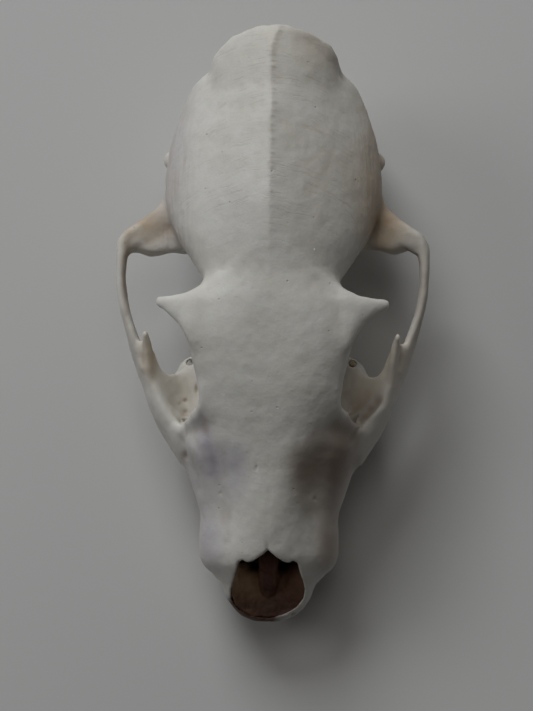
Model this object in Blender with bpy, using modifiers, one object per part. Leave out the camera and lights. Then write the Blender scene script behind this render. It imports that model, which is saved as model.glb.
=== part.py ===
"""Mongoose skull without its lower jaw, standing on its canine tips and ear bullae.

The snout points along -Y, +X is the animal's left and +Z is up. Places on the skull are given in
millimetres as x (sideways), back (behind the snout tip) and z (above the surface that it stands on).
"""

import math

import bmesh
import bpy
import numpy as np
from mathutils import Matrix, Vector

MM = 0.001

# Driving dimensions, in millimetres.
LENGTH = 95.0  # snout tip to the back of the nuchal crest
ARCH_HALF = 25.7  # midline to the outside of a zygomatic arch, at its widest
CASE_HALF = 17.75  # half the braincase's greatest width
WAIST_HALF = 10.9  # half the width of the constriction behind the orbits
BROW_HALF = 12.7  # half the width between the orbits
MUZZLE_HALF = 11.2  # half the width across the canine roots
CROWN_TOP = 35.3  # highest point of the braincase, without the sagittal crest
CREST = 0.75  # height of the sagittal crest
GUM = 8.4  # height of the bone's edge round the teeth
BASE = 11.4  # height of the underside of the braincase
GAP = 0.3  # room between a tooth's root and its socket

FUSE_VOXEL = 0.4  # grid on which the grown-together forms are fused
TOOTH_VOXEL = 0.18
CRANIUM_TRIANGLES = 4550
TOOTH_TRIANGLES = 96
LINING_TRIANGLES = 280
MIRRORED = (1, -1)

BONE = ("bone", (0.80, 0.78, 0.73), 0.62)
ENAMEL = ("enamel", (0.84, 0.79, 0.67), 0.28)
CARTILAGE = ("dried_cartilage", (0.26, 0.15, 0.10), 0.55)

# Teeth of one side. Each has its name, x, back and turn, then its lobes and its root.
# A lobe is along, across, half length, half width, depth, and how far its tip leans along and across.
# A root is the half length and half width at the neck, and its height in the bone.
TEETH = (
    ("incisor_1", 0.95, 2.2, 0, ((0, 0, 0.75, 0.65, 2.3, -0.3, 0.0),), (0.58, 0.45, 1.5)),
    ("incisor_2", 2.85, 2.6, 14, ((0, 0, 0.8, 0.78, 2.6, -0.3, 0.0),), (0.62, 0.55, 1.5)),
    ("incisor_3", 5.0, 4.1, 32, ((0, 0, 1.1, 0.92, 3.3, 0.2, 0.1),), (0.9, 0.75, 1.7)),
    ("canine", 8.1, 9.6, 10, ((0, 0, 2.25, 1.65, 8.65, 1.1, 0.5),), (1.95, 1.4, 6.5)),
    ("premolar_1", 8.5, 14.6, 8, ((0, 0, 0.95, 0.7, 1.8, 0.1, 0.0),), (0.7, 0.55, 2.0)),
    (
        "premolar_2", 9.1, 18.6, 12,
        ((0, 0, 1.75, 1.0, 3.6, 0.1, 0.0), (1.25, 0, 0.7, 0.7, 1.5, 0.1, 0.0)),
        (1.5, 0.75, 2.6),
    ),
    (
        "premolar_3", 10.5, 24.0, 17,
        (
            (-0.2, 0, 2.1, 1.35, 4.6, 0.1, 0.0),
            (1.9, 0.1, 0.85, 0.95, 2.1, 0.1, 0.0),
            (0.6, -1.1, 0.9, 0.7, 1.5, 0.0, 0.0),
        ),
        (2.2, 0.95, 3.0),
    ),
    (
        "carnassial", 12.9, 31.3, 20,
        (
            (-0.4, 0.5, 2.2, 1.35, 5.3, 0.4, 0.0),
            (2.7, 0.6, 1.55, 1.0, 3.2, 0.2, 0.2),
            (-3.0, 0.6, 0.9, 0.9, 2.2, -0.1, 0.0),
            (-2.3, -1.9, 1.25, 1.15, 2.5, 0.0, 0.2),
        ),
        (3.3, 1.15, 3.0),
    ),
    (
        "molar_1", 12.5, 38.3, 10,
        (
            (-0.9, 2.2, 1.15, 1.15, 2.7, 0.0, 0.0),
            (0.95, 1.9, 1.05, 1.05, 2.4, 0.0, 0.0),
            (0.0, 0.2, 1.5, 1.7, 1.3, 0.0, 0.0),
            (0.3, -2.0, 1.35, 1.35, 2.2, 0.0, 0.2),
        ),
        (1.3, 2.8, 1.9),
    ),
    (
        "molar_2", 12.6, 42.1, 6,
        ((0.0, 1.1, 0.95, 0.95, 1.9, 0.0, 0.0), (0.05, -0.8, 0.9, 1.1, 1.6, 0.0, 0.1)),
        (0.7, 1.6, 1.9),
    ),
)
LOST_TEETH = ("molar_2_right",)


def clear_scene():
    for old in list(bpy.data.objects):
        bpy.data.objects.remove(old)


def collection(name):
    made = bpy.data.collections.new(name)
    bpy.context.scene.collection.children.link(made)
    return made


def material(name, colour, roughness):
    made = bpy.data.materials.get(name)
    if made is None:
        made = bpy.data.materials.new(name)
        made.use_nodes = True
        shader = made.node_tree.nodes["Principled BSDF"]
        shader.inputs["Base Color"].default_value = (*colour, 1.0)
        shader.inputs["Roughness"].default_value = roughness
        shader.inputs["Metallic"].default_value = 0.0
    return made


def place(x, back, z):
    """A point of the skull, in metres."""
    return Vector((x, back - LENGTH / 2, z)) * MM


def flowing(rows, spacing, along=None):
    """Rows close together on smooth curves through the given ones, by distance along or by column one."""
    rows = np.array(rows, float)
    travel = rows[:, 0] if along is None else np.array(along, float)
    steps = np.diff(travel)
    slopes = np.diff(rows, axis=0) / steps[:, None]
    tangents = np.vstack([slopes[:1], slopes, slopes[-1:]])
    weights = np.concatenate([steps[:1], steps, steps[-1:]])
    tangents = tangents[:-1] * weights[1:, None] + tangents[1:] * weights[:-1, None]
    tangents /= (weights[1:] + weights[:-1])[:, None]
    at = np.linspace(travel[0], travel[-1], max(2, round((travel[-1] - travel[0]) / spacing) + 1))
    span = np.clip(np.searchsorted(travel, at, side="right") - 1, 0, len(steps) - 1)
    t = ((at - travel[span]) / steps[span])[:, None]
    run = steps[span][:, None]
    return (
        (2 * t**3 - 3 * t**2 + 1) * rows[span]
        + (t**3 - 2 * t**2 + t) * run * tangents[span]
        + (3 * t**2 - 2 * t**3) * rows[span + 1]
        + (t**3 - t**2) * run * tangents[span + 1]
    )


def add_loft(bm, rings):
    """A closed form through rings of points, each ring with as many points as the next."""
    loops = [[bm.verts.new(point) for point in ring] for ring in rings]
    faces = [bm.faces.new(loops[0]), bm.faces.new(loops[-1])]
    for near, far in zip(loops, loops[1:]):
        for i in range(len(near)):
            j = (i + 1) % len(near)
            faces.append(bm.faces.new((near[i], near[j], far[j], far[i])))
    bmesh.ops.recalc_face_normals(bm, faces=faces)


def rounded(angle, power):
    """Cosine and sine of a superellipse: power 2 is an ellipse, more is boxier and less is peaked."""
    c, s = math.cos(angle), math.sin(angle)
    return (
        math.copysign(abs(c) ** (2 / power), c),
        math.copysign(abs(s) ** (2 / power), s),
    )


def add_body(bm, rows, spacing=1.2, sides=44):
    """A form along the skull, through rows of back, half width, lowest, widest and highest z, and the
    powers of its upper and its lower half."""
    rings = []
    for back, half, low, widest, high, upper, lower in flowing(rows, spacing):
        ring = []
        for i in range(sides):
            angle = 2 * math.pi * i / sides
            above = math.sin(angle) >= 0
            across, up = rounded(angle, upper if above else lower)
            reach = high - widest if above else widest - low
            ring.append(place(half * across, back, widest + up * reach))
        rings.append(ring)
    add_loft(bm, rings)


def add_sweep(bm, rows, side=1, spacing=0.9, sides=20, power=2.2):
    """A form along a path, through rows of x, back and z, half sizes across and up, and lean in degrees."""
    rows = np.array(rows, float)
    travel = np.concatenate([[0.0], np.cumsum(np.linalg.norm(np.diff(rows[:, :3], axis=0), axis=1))])
    rows = flowing(rows, spacing, travel)
    path = [Vector(row[:3]) for row in rows]
    rings = []
    for i, (x, back, z, across, up, lean) in enumerate(rows):
        ahead = (path[min(i + 1, len(path) - 1)] - path[max(i - 1, 0)]).normalized()
        right = ahead.cross(Vector((0, 0, 1)))
        if right.length < 0.4:
            right = Vector((1, 0, 0)) - ahead * ahead.x
        right.normalize()
        above = right.cross(ahead).normalized()
        turn = Matrix.Rotation(math.radians(lean), 3, ahead)
        right, above = turn @ right, turn @ above
        ring = []
        for k in range(sides):
            u, v = rounded(2 * math.pi * k / sides, power)
            point = Vector((x, back, z)) + right * (u * across) + above * (v * up)
            ring.append(place(side * point.x, point.y, point.z))
        rings.append(ring)
    add_loft(bm, rings)


def add_ball(bm, x, back, z, sizes, yaw=0.0, pitch=0.0, side=1):
    """An egg-shaped form with the given half sizes, turned about Z by yaw and about X by pitch."""
    turn = Matrix.Rotation(math.radians(side * yaw), 4, "Z") @ Matrix.Rotation(math.radians(pitch), 4, "X")
    shape = Matrix.Translation(place(side * x, back, z)) @ turn @ Matrix.Diagonal((*sizes, 1.0))
    bmesh.ops.create_uvsphere(bm, u_segments=20, v_segments=14, radius=MM, matrix=shape)


def add_branch(bm, rows, side, sides=24):
    """A form out to one side, through rows of x, front and rear edge, z, half height and lean in degrees."""
    rings = []
    for x, front, rear, z, up, lean in flowing(rows, 0.6):
        rise = math.tan(math.radians(lean))
        ring = []
        for k in range(sides):
            u, v = rounded(2 * math.pi * k / sides, 2.1)
            reach = u * (rear - front) / 2
            ring.append(place(side * x, (front + rear) / 2 + reach, z + v * up + reach * rise))
        rings.append(ring)
    add_loft(bm, rings)


def add_prism(bm, outline, low, high):
    """An upright form with the given outline of x and back, from low to high."""
    add_loft(bm, [[place(x, back, z) for x, back in outline] for z in (low, high)])


def braincase(bm):
    """The long oval case of the brain, roof-shaped towards the crest along its top."""
    case, top = CASE_HALF, CROWN_TOP
    add_body(bm, [
        (49.0, WAIST_HALF * 0.80, BASE + 6.0, 26.5, top - 2.9, 2.2, 2.2),
        (52.0, WAIST_HALF * 0.93, BASE + 5.6, 26.0, top - 2.0, 2.2, 2.2),
        (54.6, WAIST_HALF, BASE + 5.0, 25.4, top - 1.4, 2.1, 2.2),
        (58.0, case * 0.73, BASE + 3.2, 24.0, top - 0.8, 1.9, 2.3),
        (62.0, case * 0.875, BASE + 1.4, 22.8, top - 0.2, 1.65, 2.5),
        (66.0, case * 0.96, BASE + 0.4, 21.9, top, 1.54, 2.7),
        (70.0, case, BASE, 21.3, top - 0.1, 1.5, 2.9),
        (74.0, case * 0.985, BASE - 0.1, 21.0, top - 0.4, 1.5, 2.9),
        (78.0, case * 0.95, BASE - 0.2, 20.8, top - 0.8, 1.5, 2.8),
        (82.0, case * 0.885, BASE - 0.2, 20.6, top - 1.4, 1.52, 2.7),
        (85.5, case * 0.81, BASE, 20.4, top - 2.3, 1.6, 2.5),
        (88.2, case * 0.72, BASE + 0.6, 20.2, top - 4.1, 1.75, 2.3),
        (90.2, case * 0.57, BASE + 2.0, 20.0, top - 7.7, 1.95, 2.2),
        (91.4, case * 0.38, BASE + 4.0, 19.6, top - 12.1, 2.2, 2.2),
    ])


def nuchal_crest(bm):
    """The ledge that overhangs the back of the skull, with its rim running down to the ear region."""
    top = CROWN_TOP
    add_body(bm, [
        (78.0, 6.0, 22.0, 27.0, top - 2.9, 1.8, 2.0),
        (83.0, 8.8, 20.0, 27.0, top - 2.4, 1.7, 2.0),
        (87.0, 10.2, 19.4, 26.6, top - 2.4, 1.65, 2.0),
        (89.6, 10.4, 20.6, 26.6, top - 2.6, 1.62, 2.1),
        (91.2, 9.9, 22.8, 27.2, top - 2.9, 1.65, 2.2),
        (92.4, 8.7, 25.0, 28.2, top - 3.2, 1.7, 2.2),
        (93.5, 6.9, 27.4, 29.2, top - 3.5, 1.9, 2.2),
        (94.4, 4.9, 29.2, 30.4, top - 3.7, 2.0, 2.2),
        (95.2, 2.2, 30.5, 31.0, top - 4.0, 2.1, 2.1),
    ], spacing=0.7)
    for side in MIRRORED:
        wider = 0.25 + 0.25 * side
        add_sweep(bm, [
            (0.0, 94.4, top - 4.3, 0.65, 0.7, 0),
            (3.0, 94.15, top - 4.6, 0.65, 0.7, 0),
            (6.4 + wider * 0.5, 93.15, top - 5.7, 0.65, 0.7, 0),
            (8.7 + wider, 91.6, top - 7.5, 0.65, 0.7, 0),
            (9.6 + wider, 89.8, top - 10.3, 0.7, 0.8, 0),
            (11.0, 87.4, 21.0, 0.8, 0.9, 0),
            (13.2, 84.0, 16.8, 0.9, 1.0, 0),
            (15.4, 80.2, 13.6, 1.2, 1.2, 0),
        ], side)


def occiput(bm):
    """The back wall under the ledge, the two condyles, and the cusps behind the ear bullae."""
    add_body(bm, [
        (83.0, 13.8, BASE + 0.2, 17.0, 26.5, 2.2, 2.6),
        (87.6, 11.8, BASE + 0.2, 17.0, 26.5, 2.1, 2.6),
        (89.8, 9.4, BASE + 0.6, 17.0, 25.8, 2.1, 2.4),
        (91.2, 6.8, BASE + 1.4, 17.0, 24.4, 2.1, 2.3),
        (92.2, 4.0, BASE + 3.4, 18.5, 22.6, 2.1, 2.3),
    ], spacing=0.9)
    for side in MIRRORED:
        add_ball(bm, 6.3, 90.6, 14.8, (2.7, 3.0, 4.2), yaw=24, pitch=12, side=side)
        add_ball(bm, 3.4, 88.8, 12.1, (2.8, 3.0, 1.2), yaw=10, side=side)
        add_sweep(bm, [
            (12.6, 84.0, 16.5, 2.8, 2.0, 0),
            (12.2, 84.9, 12.0, 2.4, 1.7, 0),
            (11.6, 85.4, 7.6, 1.8, 1.25, 0),
            (11.0, 85.4, 4.0, 1.0, 0.8, 0),
        ], side)


def base_of_skull(bm):
    """The flat bar under the braincase, from the palate back to the foramen magnum."""
    add_body(bm, [
        (46.0, 5.0, 13.2, 15.5, 19.0, 2.4, 4.0),
        (56.0, 5.2, 12.8, 15.5, 19.0, 2.4, 4.0),
        (66.0, 5.6, 12.0, 15.0, 19.0, 2.4, 4.0),
        (78.0, 6.6, BASE - 0.4, 14.0, 18.0, 2.4, 4.0),
        (89.4, 6.0, BASE, 13.5, 17.0, 2.4, 4.0),
    ])


def ear_bullae(bm):
    """On each side a small front chamber and a swollen rear one, the ear opening with its ledge, and the mastoid bump."""
    for side in MIRRORED:
        add_ball(bm, 9.6, 78.2, 6.0, (5.2, 7.0, 6.25), yaw=12, side=side)
        add_ball(bm, 10.7, 70.7, 8.6, (4.7, 4.0, 4.5), yaw=8, side=side)
        add_sweep(bm, [
            (9.5, 73.4, 12.4, 3.4, 3.2, 0),
            (13.5, 74.0, 13.2, 3.1, 3.0, 0),
            (16.4, 74.6, 13.8, 2.6, 2.6, 0),
            (17.6, 74.9, 14.0, 2.2, 2.3, 0),
        ], side)
        add_ball(bm, 16.0, 75.8, 16.8, (2.45, 2.0, 1.5), side=side)
        add_ball(bm, 14.0, 79.4, 13.4, (2.1, 3.2, 3.6), yaw=-18, side=side)


def face(bm):
    """Muzzle, cheeks and the domed roof between the orbits, which runs on into the braincase."""
    muzzle, brow, top = MUZZLE_HALF, BROW_HALF, CROWN_TOP
    add_body(bm, [
        (0.0, muzzle * 0.20, 9.4, 10.6, 11.4, 2.1, 2.2),
        (0.9, muzzle * 0.395, GUM + 0.3, 10.8, 12.4, 2.2, 2.8),
        (2.2, muzzle * 0.51, GUM, 11.0, 13.6, 2.2, 3.6),
        (3.6, muzzle * 0.605, GUM, 11.4, 15.2, 2.2, 3.8),
        (5.0, muzzle * 0.655, GUM, 11.8, 16.9, 2.2, 4.0),
        (6.3, muzzle * 0.69, GUM, 12.2, 18.4, 2.2, 4.0),
        (7.5, muzzle * 0.78, GUM, 12.5, 19.7, 2.15, 4.0),
        (8.8, muzzle * 0.92, GUM, 12.8, 21.0, 2.1, 4.0),
        (10.4, muzzle * 0.985, GUM, 13.0, 22.2, 2.05, 4.0),
        (13.0, muzzle, GUM, 13.2, 23.2, 2.0, 4.0),
        (18.0, muzzle * 1.015, GUM, 13.4, 24.8, 1.95, 4.0),
        (20.4, muzzle * 1.09, GUM, 13.5, 25.5, 2.0, 4.0),
        (23.0, muzzle * 1.17, GUM - 0.1, 13.7, 26.3, 2.12, 4.0),
        (26.4, muzzle * 1.27, GUM - 0.1, 14.2, 27.4, 2.4, 4.0),
        (29.4, muzzle * 1.28, GUM - 0.1, 14.6, 28.4, 2.75, 4.0),
        (31.6, muzzle * 1.22, GUM - 0.1, 14.8, 28.6, 2.6, 4.0),
    ])
    add_body(bm, [
        (22.0, brow * 0.50, 18.0, 22.0, 25.4, 2.2, 2.2),
        (26.0, brow * 0.70, 18.6, 22.8, 27.2, 2.2, 2.2),
        (30.0, brow * 0.83, 19.4, 24.2, 28.7, 2.25, 2.2),
        (34.0, brow * 0.88, 20.4, 25.8, 30.2, 2.3, 2.2),
        (38.0, brow * 0.92, 21.0, 27.2, 31.5, 2.35, 2.2),
        (42.0, brow * 0.985, 21.2, 28.6, top - 2.7, 2.4, 2.2),
        (46.0, brow * 1.04, 21.2, 29.4, top - 1.9, 2.4, 2.2),
        (50.0, brow * 1.0, 20.6, 29.2, top - 1.4, 2.3, 2.2),
        (53.0, brow * 0.90, 19.6, 28.2, top - 1.2, 2.2, 2.2),
        (56.5, brow * 0.78, 18.6, 26.6, top - 1.2, 2.1, 2.2),
        (60.0, brow * 0.62, 18.0, 25.8, top - 1.6, 2.0, 2.2),
    ])


def inner_walls(bm):
    """The wall of bone between the two orbits, from the muzzle back to the braincase."""
    add_body(bm, [
        (26.0, 11.4, 9.6, 17.0, 26.6, 2.4, 3.0),
        (31.0, 10.4, 9.6, 18.0, 28.0, 2.4, 3.0),
        (35.0, 9.0, 9.6, 18.5, 29.0, 2.4, 3.0),
        (40.0, 7.8, 9.8, 18.5, 30.0, 2.4, 3.0),
        (46.0, 7.4, 10.4, 18.5, 30.0, 2.4, 3.0),
        (52.0, 8.0, 12.8, 19.0, 30.0, 2.3, 2.8),
        (58.0, 9.6, 13.4, 20.0, 30.0, 2.2, 2.6),
    ])


def palate(bm):
    """The roof of the mouth and the shelf over the cheek teeth, which is the floor of each orbit."""
    add_body(bm, [
        (25.0, 11.8, GUM, 11.0, 16.0, 2.6, 4.5),
        (29.0, 14.6, GUM - 0.1, 11.2, 15.6, 3.0, 4.5),
        (33.0, 16.4, GUM - 0.1, 11.3, 14.8, 3.4, 4.5),
        (37.0, 17.0, GUM - 0.1, 11.2, 14.0, 3.6, 4.5),
        (39.6, 17.0, GUM - 0.1, 11.0, 13.2, 3.6, 4.2),
        (41.4, 15.8, GUM, 10.8, 12.8, 3.4, 3.8),
        (43.0, 14.9, GUM, 10.6, 12.4, 3.0, 3.4),
        (44.0, 13.2, GUM + 0.2, 10.5, 12.2, 2.7, 3.0),
        (44.6, 11.0, GUM + 0.5, 10.4, 12.1, 2.4, 3.0),
        (46.6, 8.4, GUM + 0.7, 10.4, 12.4, 2.4, 3.0),
        (50.8, 7.0, GUM + 0.9, 10.4, 12.8, 2.4, 3.0),
        (52.0, 5.6, GUM + 1.4, 10.4, 12.6, 2.4, 3.0),
    ], spacing=0.8)


def gum_ridges(bm):
    """The raised edges that the teeth stand in."""
    for side in MIRRORED:
        add_sweep(bm, [
            (6.0, 5.8, 9.9, 1.0, 1.5, 0),
            (8.1, 9.6, 10.0, 1.95, 1.65, 0),
            (8.6, 14.6, 9.9, 1.5, 1.5, 0),
            (9.2, 18.6, 9.9, 1.5, 1.55, 0),
            (10.5, 24.0, 9.9, 1.8, 1.55, 0),
            (12.2, 29.5, 9.9, 2.5, 1.55, 0),
            (13.2, 33.5, 9.9, 2.7, 1.55, 0),
            (12.9, 38.3, 9.9, 3.3, 1.55, 0),
            (12.7, 41.8, 9.9, 2.3, 1.5, 0),
            (12.6, 43.4, 10.0, 1.4, 1.3, 0),
        ], side, power=3.0)


def orbit_floors(bm):
    """The broad hollow plate from each shelf up to the arch's upper edge."""
    for side in MIRRORED:
        add_branch(bm, [
            (10.5, 30.0, 44.2, 12.3, 1.2, 0),
            (12.5, 30.5, 43.9, 12.4, 1.2, 0),
            (13.6, 31.0, 43.4, 12.5, 1.1, -3),
            (14.4, 31.4, 42.3, 12.8, 1.1, -6),
            (15.2, 31.6, 41.3, 13.4, 1.15, -7),
            (16.0, 31.6, 40.75, 14.4, 1.2, -6),
            (16.8, 31.8, 40.7, 15.6, 1.2, -4),
            (17.6, 32.2, 41.0, 16.8, 1.2, -2),
            (18.4, 33.0, 42.0, 17.6, 1.1, 0),
            (19.2, 35.0, 44.0, 18.0, 1.0, 0),
        ], side)


def pterygoids(bm):
    """The two thin blades behind the palate, each ending in a hook."""
    for side in MIRRORED:
        add_sweep(bm, [
            (5.9, 46.5, 12.4, 0.9, 2.4, 0),
            (5.7, 51.0, 11.9, 0.8, 2.7, 0),
            (5.2, 56.0, 11.2, 0.7, 3.0, 0),
            (5.1, 60.0, 10.2, 0.7, 2.7, 0),
            (5.3, 62.6, 8.6, 0.7, 1.6, 0),
            (5.5, 64.4, 7.4, 0.65, 0.85, 0),
        ], side, power=2.4)


def zygomatic_arches(bm):
    """The slim bow on each side from the cheek to the braincase, with the spine that points at the brow."""
    bow = ARCH_HALF
    for side in MIRRORED:
        add_sweep(bm, [
            (10.6, 23.6, 14.6, 1.6, 3.2, -8),
            (13.0, 26.4, 14.9, 1.7, 3.9, -12),
            (14.8, 29.2, 15.1, 1.7, 4.0, -14),
            (16.7, 32.0, 15.3, 1.6, 4.0, -14),
            (18.5, 35.2, 15.5, 1.4, 3.8, -12),
            (20.0, 39.0, 15.8, 1.25, 3.5, -12),
            (21.3, 42.0, 16.1, 1.1, 3.1, -12),
            (22.45, 45.0, 16.4, 0.95, 2.6, -10),
            (23.3, 47.6, 16.8, 0.85, 2.2, -8),
            (24.15, 50.6, 17.3, 0.8, 2.0, -2),
            (bow - 1.0, 53.6, 17.8, 0.78, 1.9, 0),
            (bow - 0.82, 56.4, 18.2, 0.78, 1.85, 0),
            (bow - 0.9, 59.2, 18.6, 0.9, 1.85, 0),
            (bow - 1.35, 61.4, 18.8, 1.3, 1.8, 0),
            (bow - 2.9, 62.9, 18.9, 1.75, 1.8, 0),
        ], side, power=2.3)
        add_sweep(bm, [
            (19.4, 38.0, 17.4, 0.8, 1.6, 0),
            (19.8, 41.0, 18.2, 0.95, 1.9, 0),
            (20.1, 43.2, 19.3, 0.88, 1.8, 0),
            (20.3, 45.0, 20.6, 0.7, 1.3, 0),
            (20.5, 46.6, 22.2, 0.42, 0.6, 0),
        ], side, spacing=0.6, sides=14)


def arch_roots(bm):
    """Where an arch leaves the braincase: a sloping shelf above and the jaw's hinge trough below."""
    bow = ARCH_HALF
    for side in MIRRORED:
        slant = 0.45 * side
        add_branch(bm, [
            (12.0, 60.5 + slant, 71.4, 18.8, 2.6, 14),
            (14.5, 60.4 + slant, 71.1, 18.7, 2.1, 14),
            (16.7, 60.6 + slant, 70.0, 18.6, 1.85, 14),
            (18.6, 60.1 + slant, 68.1, 18.7, 1.6, 16),
            (20.5, 59.9 + slant, 66.1, 18.7, 1.4, 18),
            (22.2, 60.5 + slant, 65.0, 18.7, 1.4, 18),
            (23.4, 60.4 + slant, 64.3, 18.7, 1.4, 16),
            (24.4, 59.6 + slant, 63.5, 18.7, 1.35, 13),
            (bow - 0.5, 59.1, 62.4, 18.7, 1.3, 8),
        ], side)
        add_sweep(bm, [
            (10.0, 64.8, 14.8, 3.0, 2.4, 0),
            (14.0, 64.6, 15.6, 2.9, 1.9, 0),
            (18.0, 63.8, 16.6, 2.6, 1.5, 0),
            (21.6, 62.4, 17.6, 1.9, 1.2, 0),
        ], side)
        add_sweep(bm, [
            (12.4, 67.4, 14.6, 1.1, 2.4, 0),
            (15.0, 67.3, 13.9, 1.05, 2.7, 0),
            (17.4, 66.8, 14.6, 0.95, 2.2, 0),
            (19.0, 66.0, 15.8, 0.85, 1.3, 0),
        ], side)
        add_sweep(bm, [
            (15.0, 75.6, 18.4, 1.0, 1.1, 0),
            (16.6, 71.4, 18.4, 0.95, 1.0, 0),
            (17.6, 68.4, 19.4, 0.85, 0.95, 0),
            (19.6, 66.0, 20.2, 0.75, 0.9, 0),
            (22.0, 64.2, 20.4, 0.7, 0.85, 0),
            (bow - 1.6, 62.4, 20.1, 0.7, 0.85, 0),
            (bow - 0.85, 60.2, 19.6, 0.7, 0.85, 0),
        ], side)


def brow_processes(bm):
    """The pointed processes that stick out behind each orbit and droop a little."""
    for side in MIRRORED:
        shorter = 0.25 - 0.25 * side
        add_branch(bm, [
            (8.0, 42.5, 54.5, 30.4, 1.9, 0),
            (11.0, 42.8, 53.4, 30.5, 1.7, 0),
            (12.6, 43.2, 52.5, 30.4, 1.55, 0),
            (13.6, 45.2, 52.0, 30.2, 1.35, 0),
            (14.6, 46.9, 51.8, 29.9, 1.15, 0),
            (15.8, 48.2, 51.7, 29.5, 1.0, 0),
            (17.0 - shorter * 0.6, 49.1, 51.6, 29.0, 0.85, 0),
            (18.1 - shorter, 50.0, 51.4, 28.5, 0.65, 0),
            (18.7 - shorter, 50.4, 51.1, 28.2, 0.45, 0),
        ], side)


def eye_rims(bm):
    """The raised rim at the front of each orbit, from the brow down and back to the arch's spine."""
    for side in MIRRORED:
        add_sweep(bm, [
            (10.4, 38.0, 28.6, 0.9, 1.0, 0),
            (10.6, 35.0, 27.0, 0.95, 1.1, 0),
            (11.5, 33.2, 24.4, 1.1, 1.2, 0),
            (12.8, 31.8, 21.4, 1.3, 1.3, 0),
            (14.2, 31.0, 18.8, 1.3, 1.3, 0),
            (15.2, 30.4, 16.8, 1.2, 1.3, 0),
        ], side)


def cranium_forms(bm):
    for form in (
        braincase, nuchal_crest, occiput, base_of_skull, ear_bullae, face, inner_walls, palate, gum_ridges,
        orbit_floors, pterygoids, zygomatic_arches, arch_roots, brow_processes, eye_rims,
    ):
        form(bm)


def nose_cutter(bm):
    """The nose opening as seen from above, with the notched edge of the nasal bones."""
    half = (
        (0.0, 0.9), (2.8, 1.35), (4.7, 2.5), (5.75, 3.9), (6.0, 5.4), (5.65, 6.9), (5.15, 8.4), (4.8, 9.7),
        (4.1, 10.2), (3.4, 9.75), (2.7, 9.85), (1.8, 10.35), (0.8, 11.1), (0.0, 11.8),
    )
    add_prism(bm, list(half) + [(-x, back) for x, back in half[-2:0:-1]], 10.9, 30.0)


def nasal_passage_cutter(bm):
    """The passage that runs back under the nasal bones."""
    add_body(bm, [
        (3.4, 4.2, 10.6, 12.6, 14.0, 2.6, 2.6),
        (7.0, 4.7, 10.2, 13.4, 17.0, 2.6, 2.6),
        (10.0, 4.7, 10.2, 14.0, 19.4, 2.4, 2.6),
        (14.0, 4.6, 10.2, 14.6, 20.8, 2.3, 2.6),
        (18.0, 4.2, 10.4, 15.0, 21.6, 2.2, 2.4),
        (22.0, 3.0, 11.4, 15.6, 20.6, 2.2, 2.2),
        (24.0, 1.4, 13.4, 15.8, 18.6, 2.2, 2.2),
    ], sides=16, spacing=3.5)


def openings_cutter(bm):
    """Mouth of the throat, brain cavity with the foramen magnum, and the smaller openings."""
    add_body(bm, [
        (37.0, 1.6, 11.4, 12.4, 13.2, 2.2, 2.2),
        (39.0, 3.2, 10.9, 12.4, 14.4, 2.4, 2.6),
        (46.0, 3.7, 10.8, 12.4, 14.8, 2.4, 3.0),
        (53.6, 3.9, 10.9, 12.4, 14.4, 2.4, 3.0),
    ], sides=12, spacing=5.0)
    add_body(bm, [
        (55.0, 4.0, 20.0, 25.0, 28.6, 2.1, 2.1),
        (58.0, 8.0, 18.0, 24.6, 31.0, 2.0, 2.2),
        (64.0, 13.4, 15.6, 22.6, 32.4, 1.75, 2.4),
        (70.0, 15.2, 14.4, 21.6, 32.4, 1.65, 2.5),
        (77.0, 14.2, 14.0, 20.6, 31.6, 1.65, 2.5),
        (83.0, 10.8, 13.2, 19.2, 28.8, 1.8, 2.3),
        (86.6, 7.2, 12.4, 17.6, 24.0, 2.1, 2.2),
        (89.0, 6.0, 12.0, 17.0, 22.3, 2.2, 2.3),
        (96.0, 6.2, 11.7, 17.0, 22.6, 2.2, 2.3),
    ], sides=18, spacing=4.0)
    for side in MIRRORED:
        add_sweep(bm, [
            (14.9, 21.6, 12.2, 1.1, 1.4, 0),
            (13.7, 26.0, 13.6, 1.0, 1.4, 0),
            (13.3, 31.0, 15.6, 1.0, 1.4, 0),
            (13.2, 36.6, 17.2, 1.0, 1.5, 0),
        ], side, spacing=2.5, sides=10)
        add_sweep(bm, [
            (1.9, 8.6, 6.5, 0.55, 1.4, 0),
            (1.9, 8.6, 12.0, 0.55, 1.4, 0),
        ], side, spacing=6.0, sides=10)
        add_sweep(bm, [
            (20.5, 74.9, 14.2, 1.6, 1.6, 0),
            (17.0, 74.8, 14.0, 1.4, 1.4, 0),
            (14.6, 74.6, 13.6, 0.9, 0.9, 0),
        ], side, spacing=2.5, sides=10)


def socket_cutter(bm):
    """Room for every root, the lost tooth's too."""
    for name, x, back, turn, lobes, root in TEETH:
        for side in MIRRORED:
            add_root(bm, x, back, turn, root, side, GAP)


def shelf_hole_cutter(bm):
    """The holes in the shelf above the last molars' sockets."""
    for side in MIRRORED:
        add_sweep(bm, [
            (13.5, 42.4, 9.0, 0.9, 0.9, 0),
            (13.57, 42.7, 14.0, 0.65, 0.65, 0),
        ], side, spacing=3.0, sides=12)


def stand_cutter(bm):
    """Everything below the surface that the skull stands on."""
    add_prism(bm, [(-30.0, -5.0), (30.0, -5.0), (30.0, 100.0), (-30.0, 100.0)], -5.0, 0.0)


def on_row(x, back, turn, along, across):
    """The x and back of a spot on a tooth, given along the tooth row and across it."""
    angle = math.radians(turn)
    return (
        x + along * math.sin(angle) + across * math.cos(angle),
        back + along * math.cos(angle) - across * math.sin(angle),
    )


def add_root(bm, x, back, turn, root, side, room=0.0):
    """A tapering root, or with room round it the socket that it stands in."""
    length, width, height = root
    start = -1.4 if room else -0.6
    add_sweep(bm, [
        (x, back, GUM + up, width * share + room, length * share + room, -turn)
        for up, share in ((start, 1.0), (height + room, 0.66))
    ], side, spacing=9.0, sides=10)


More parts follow.
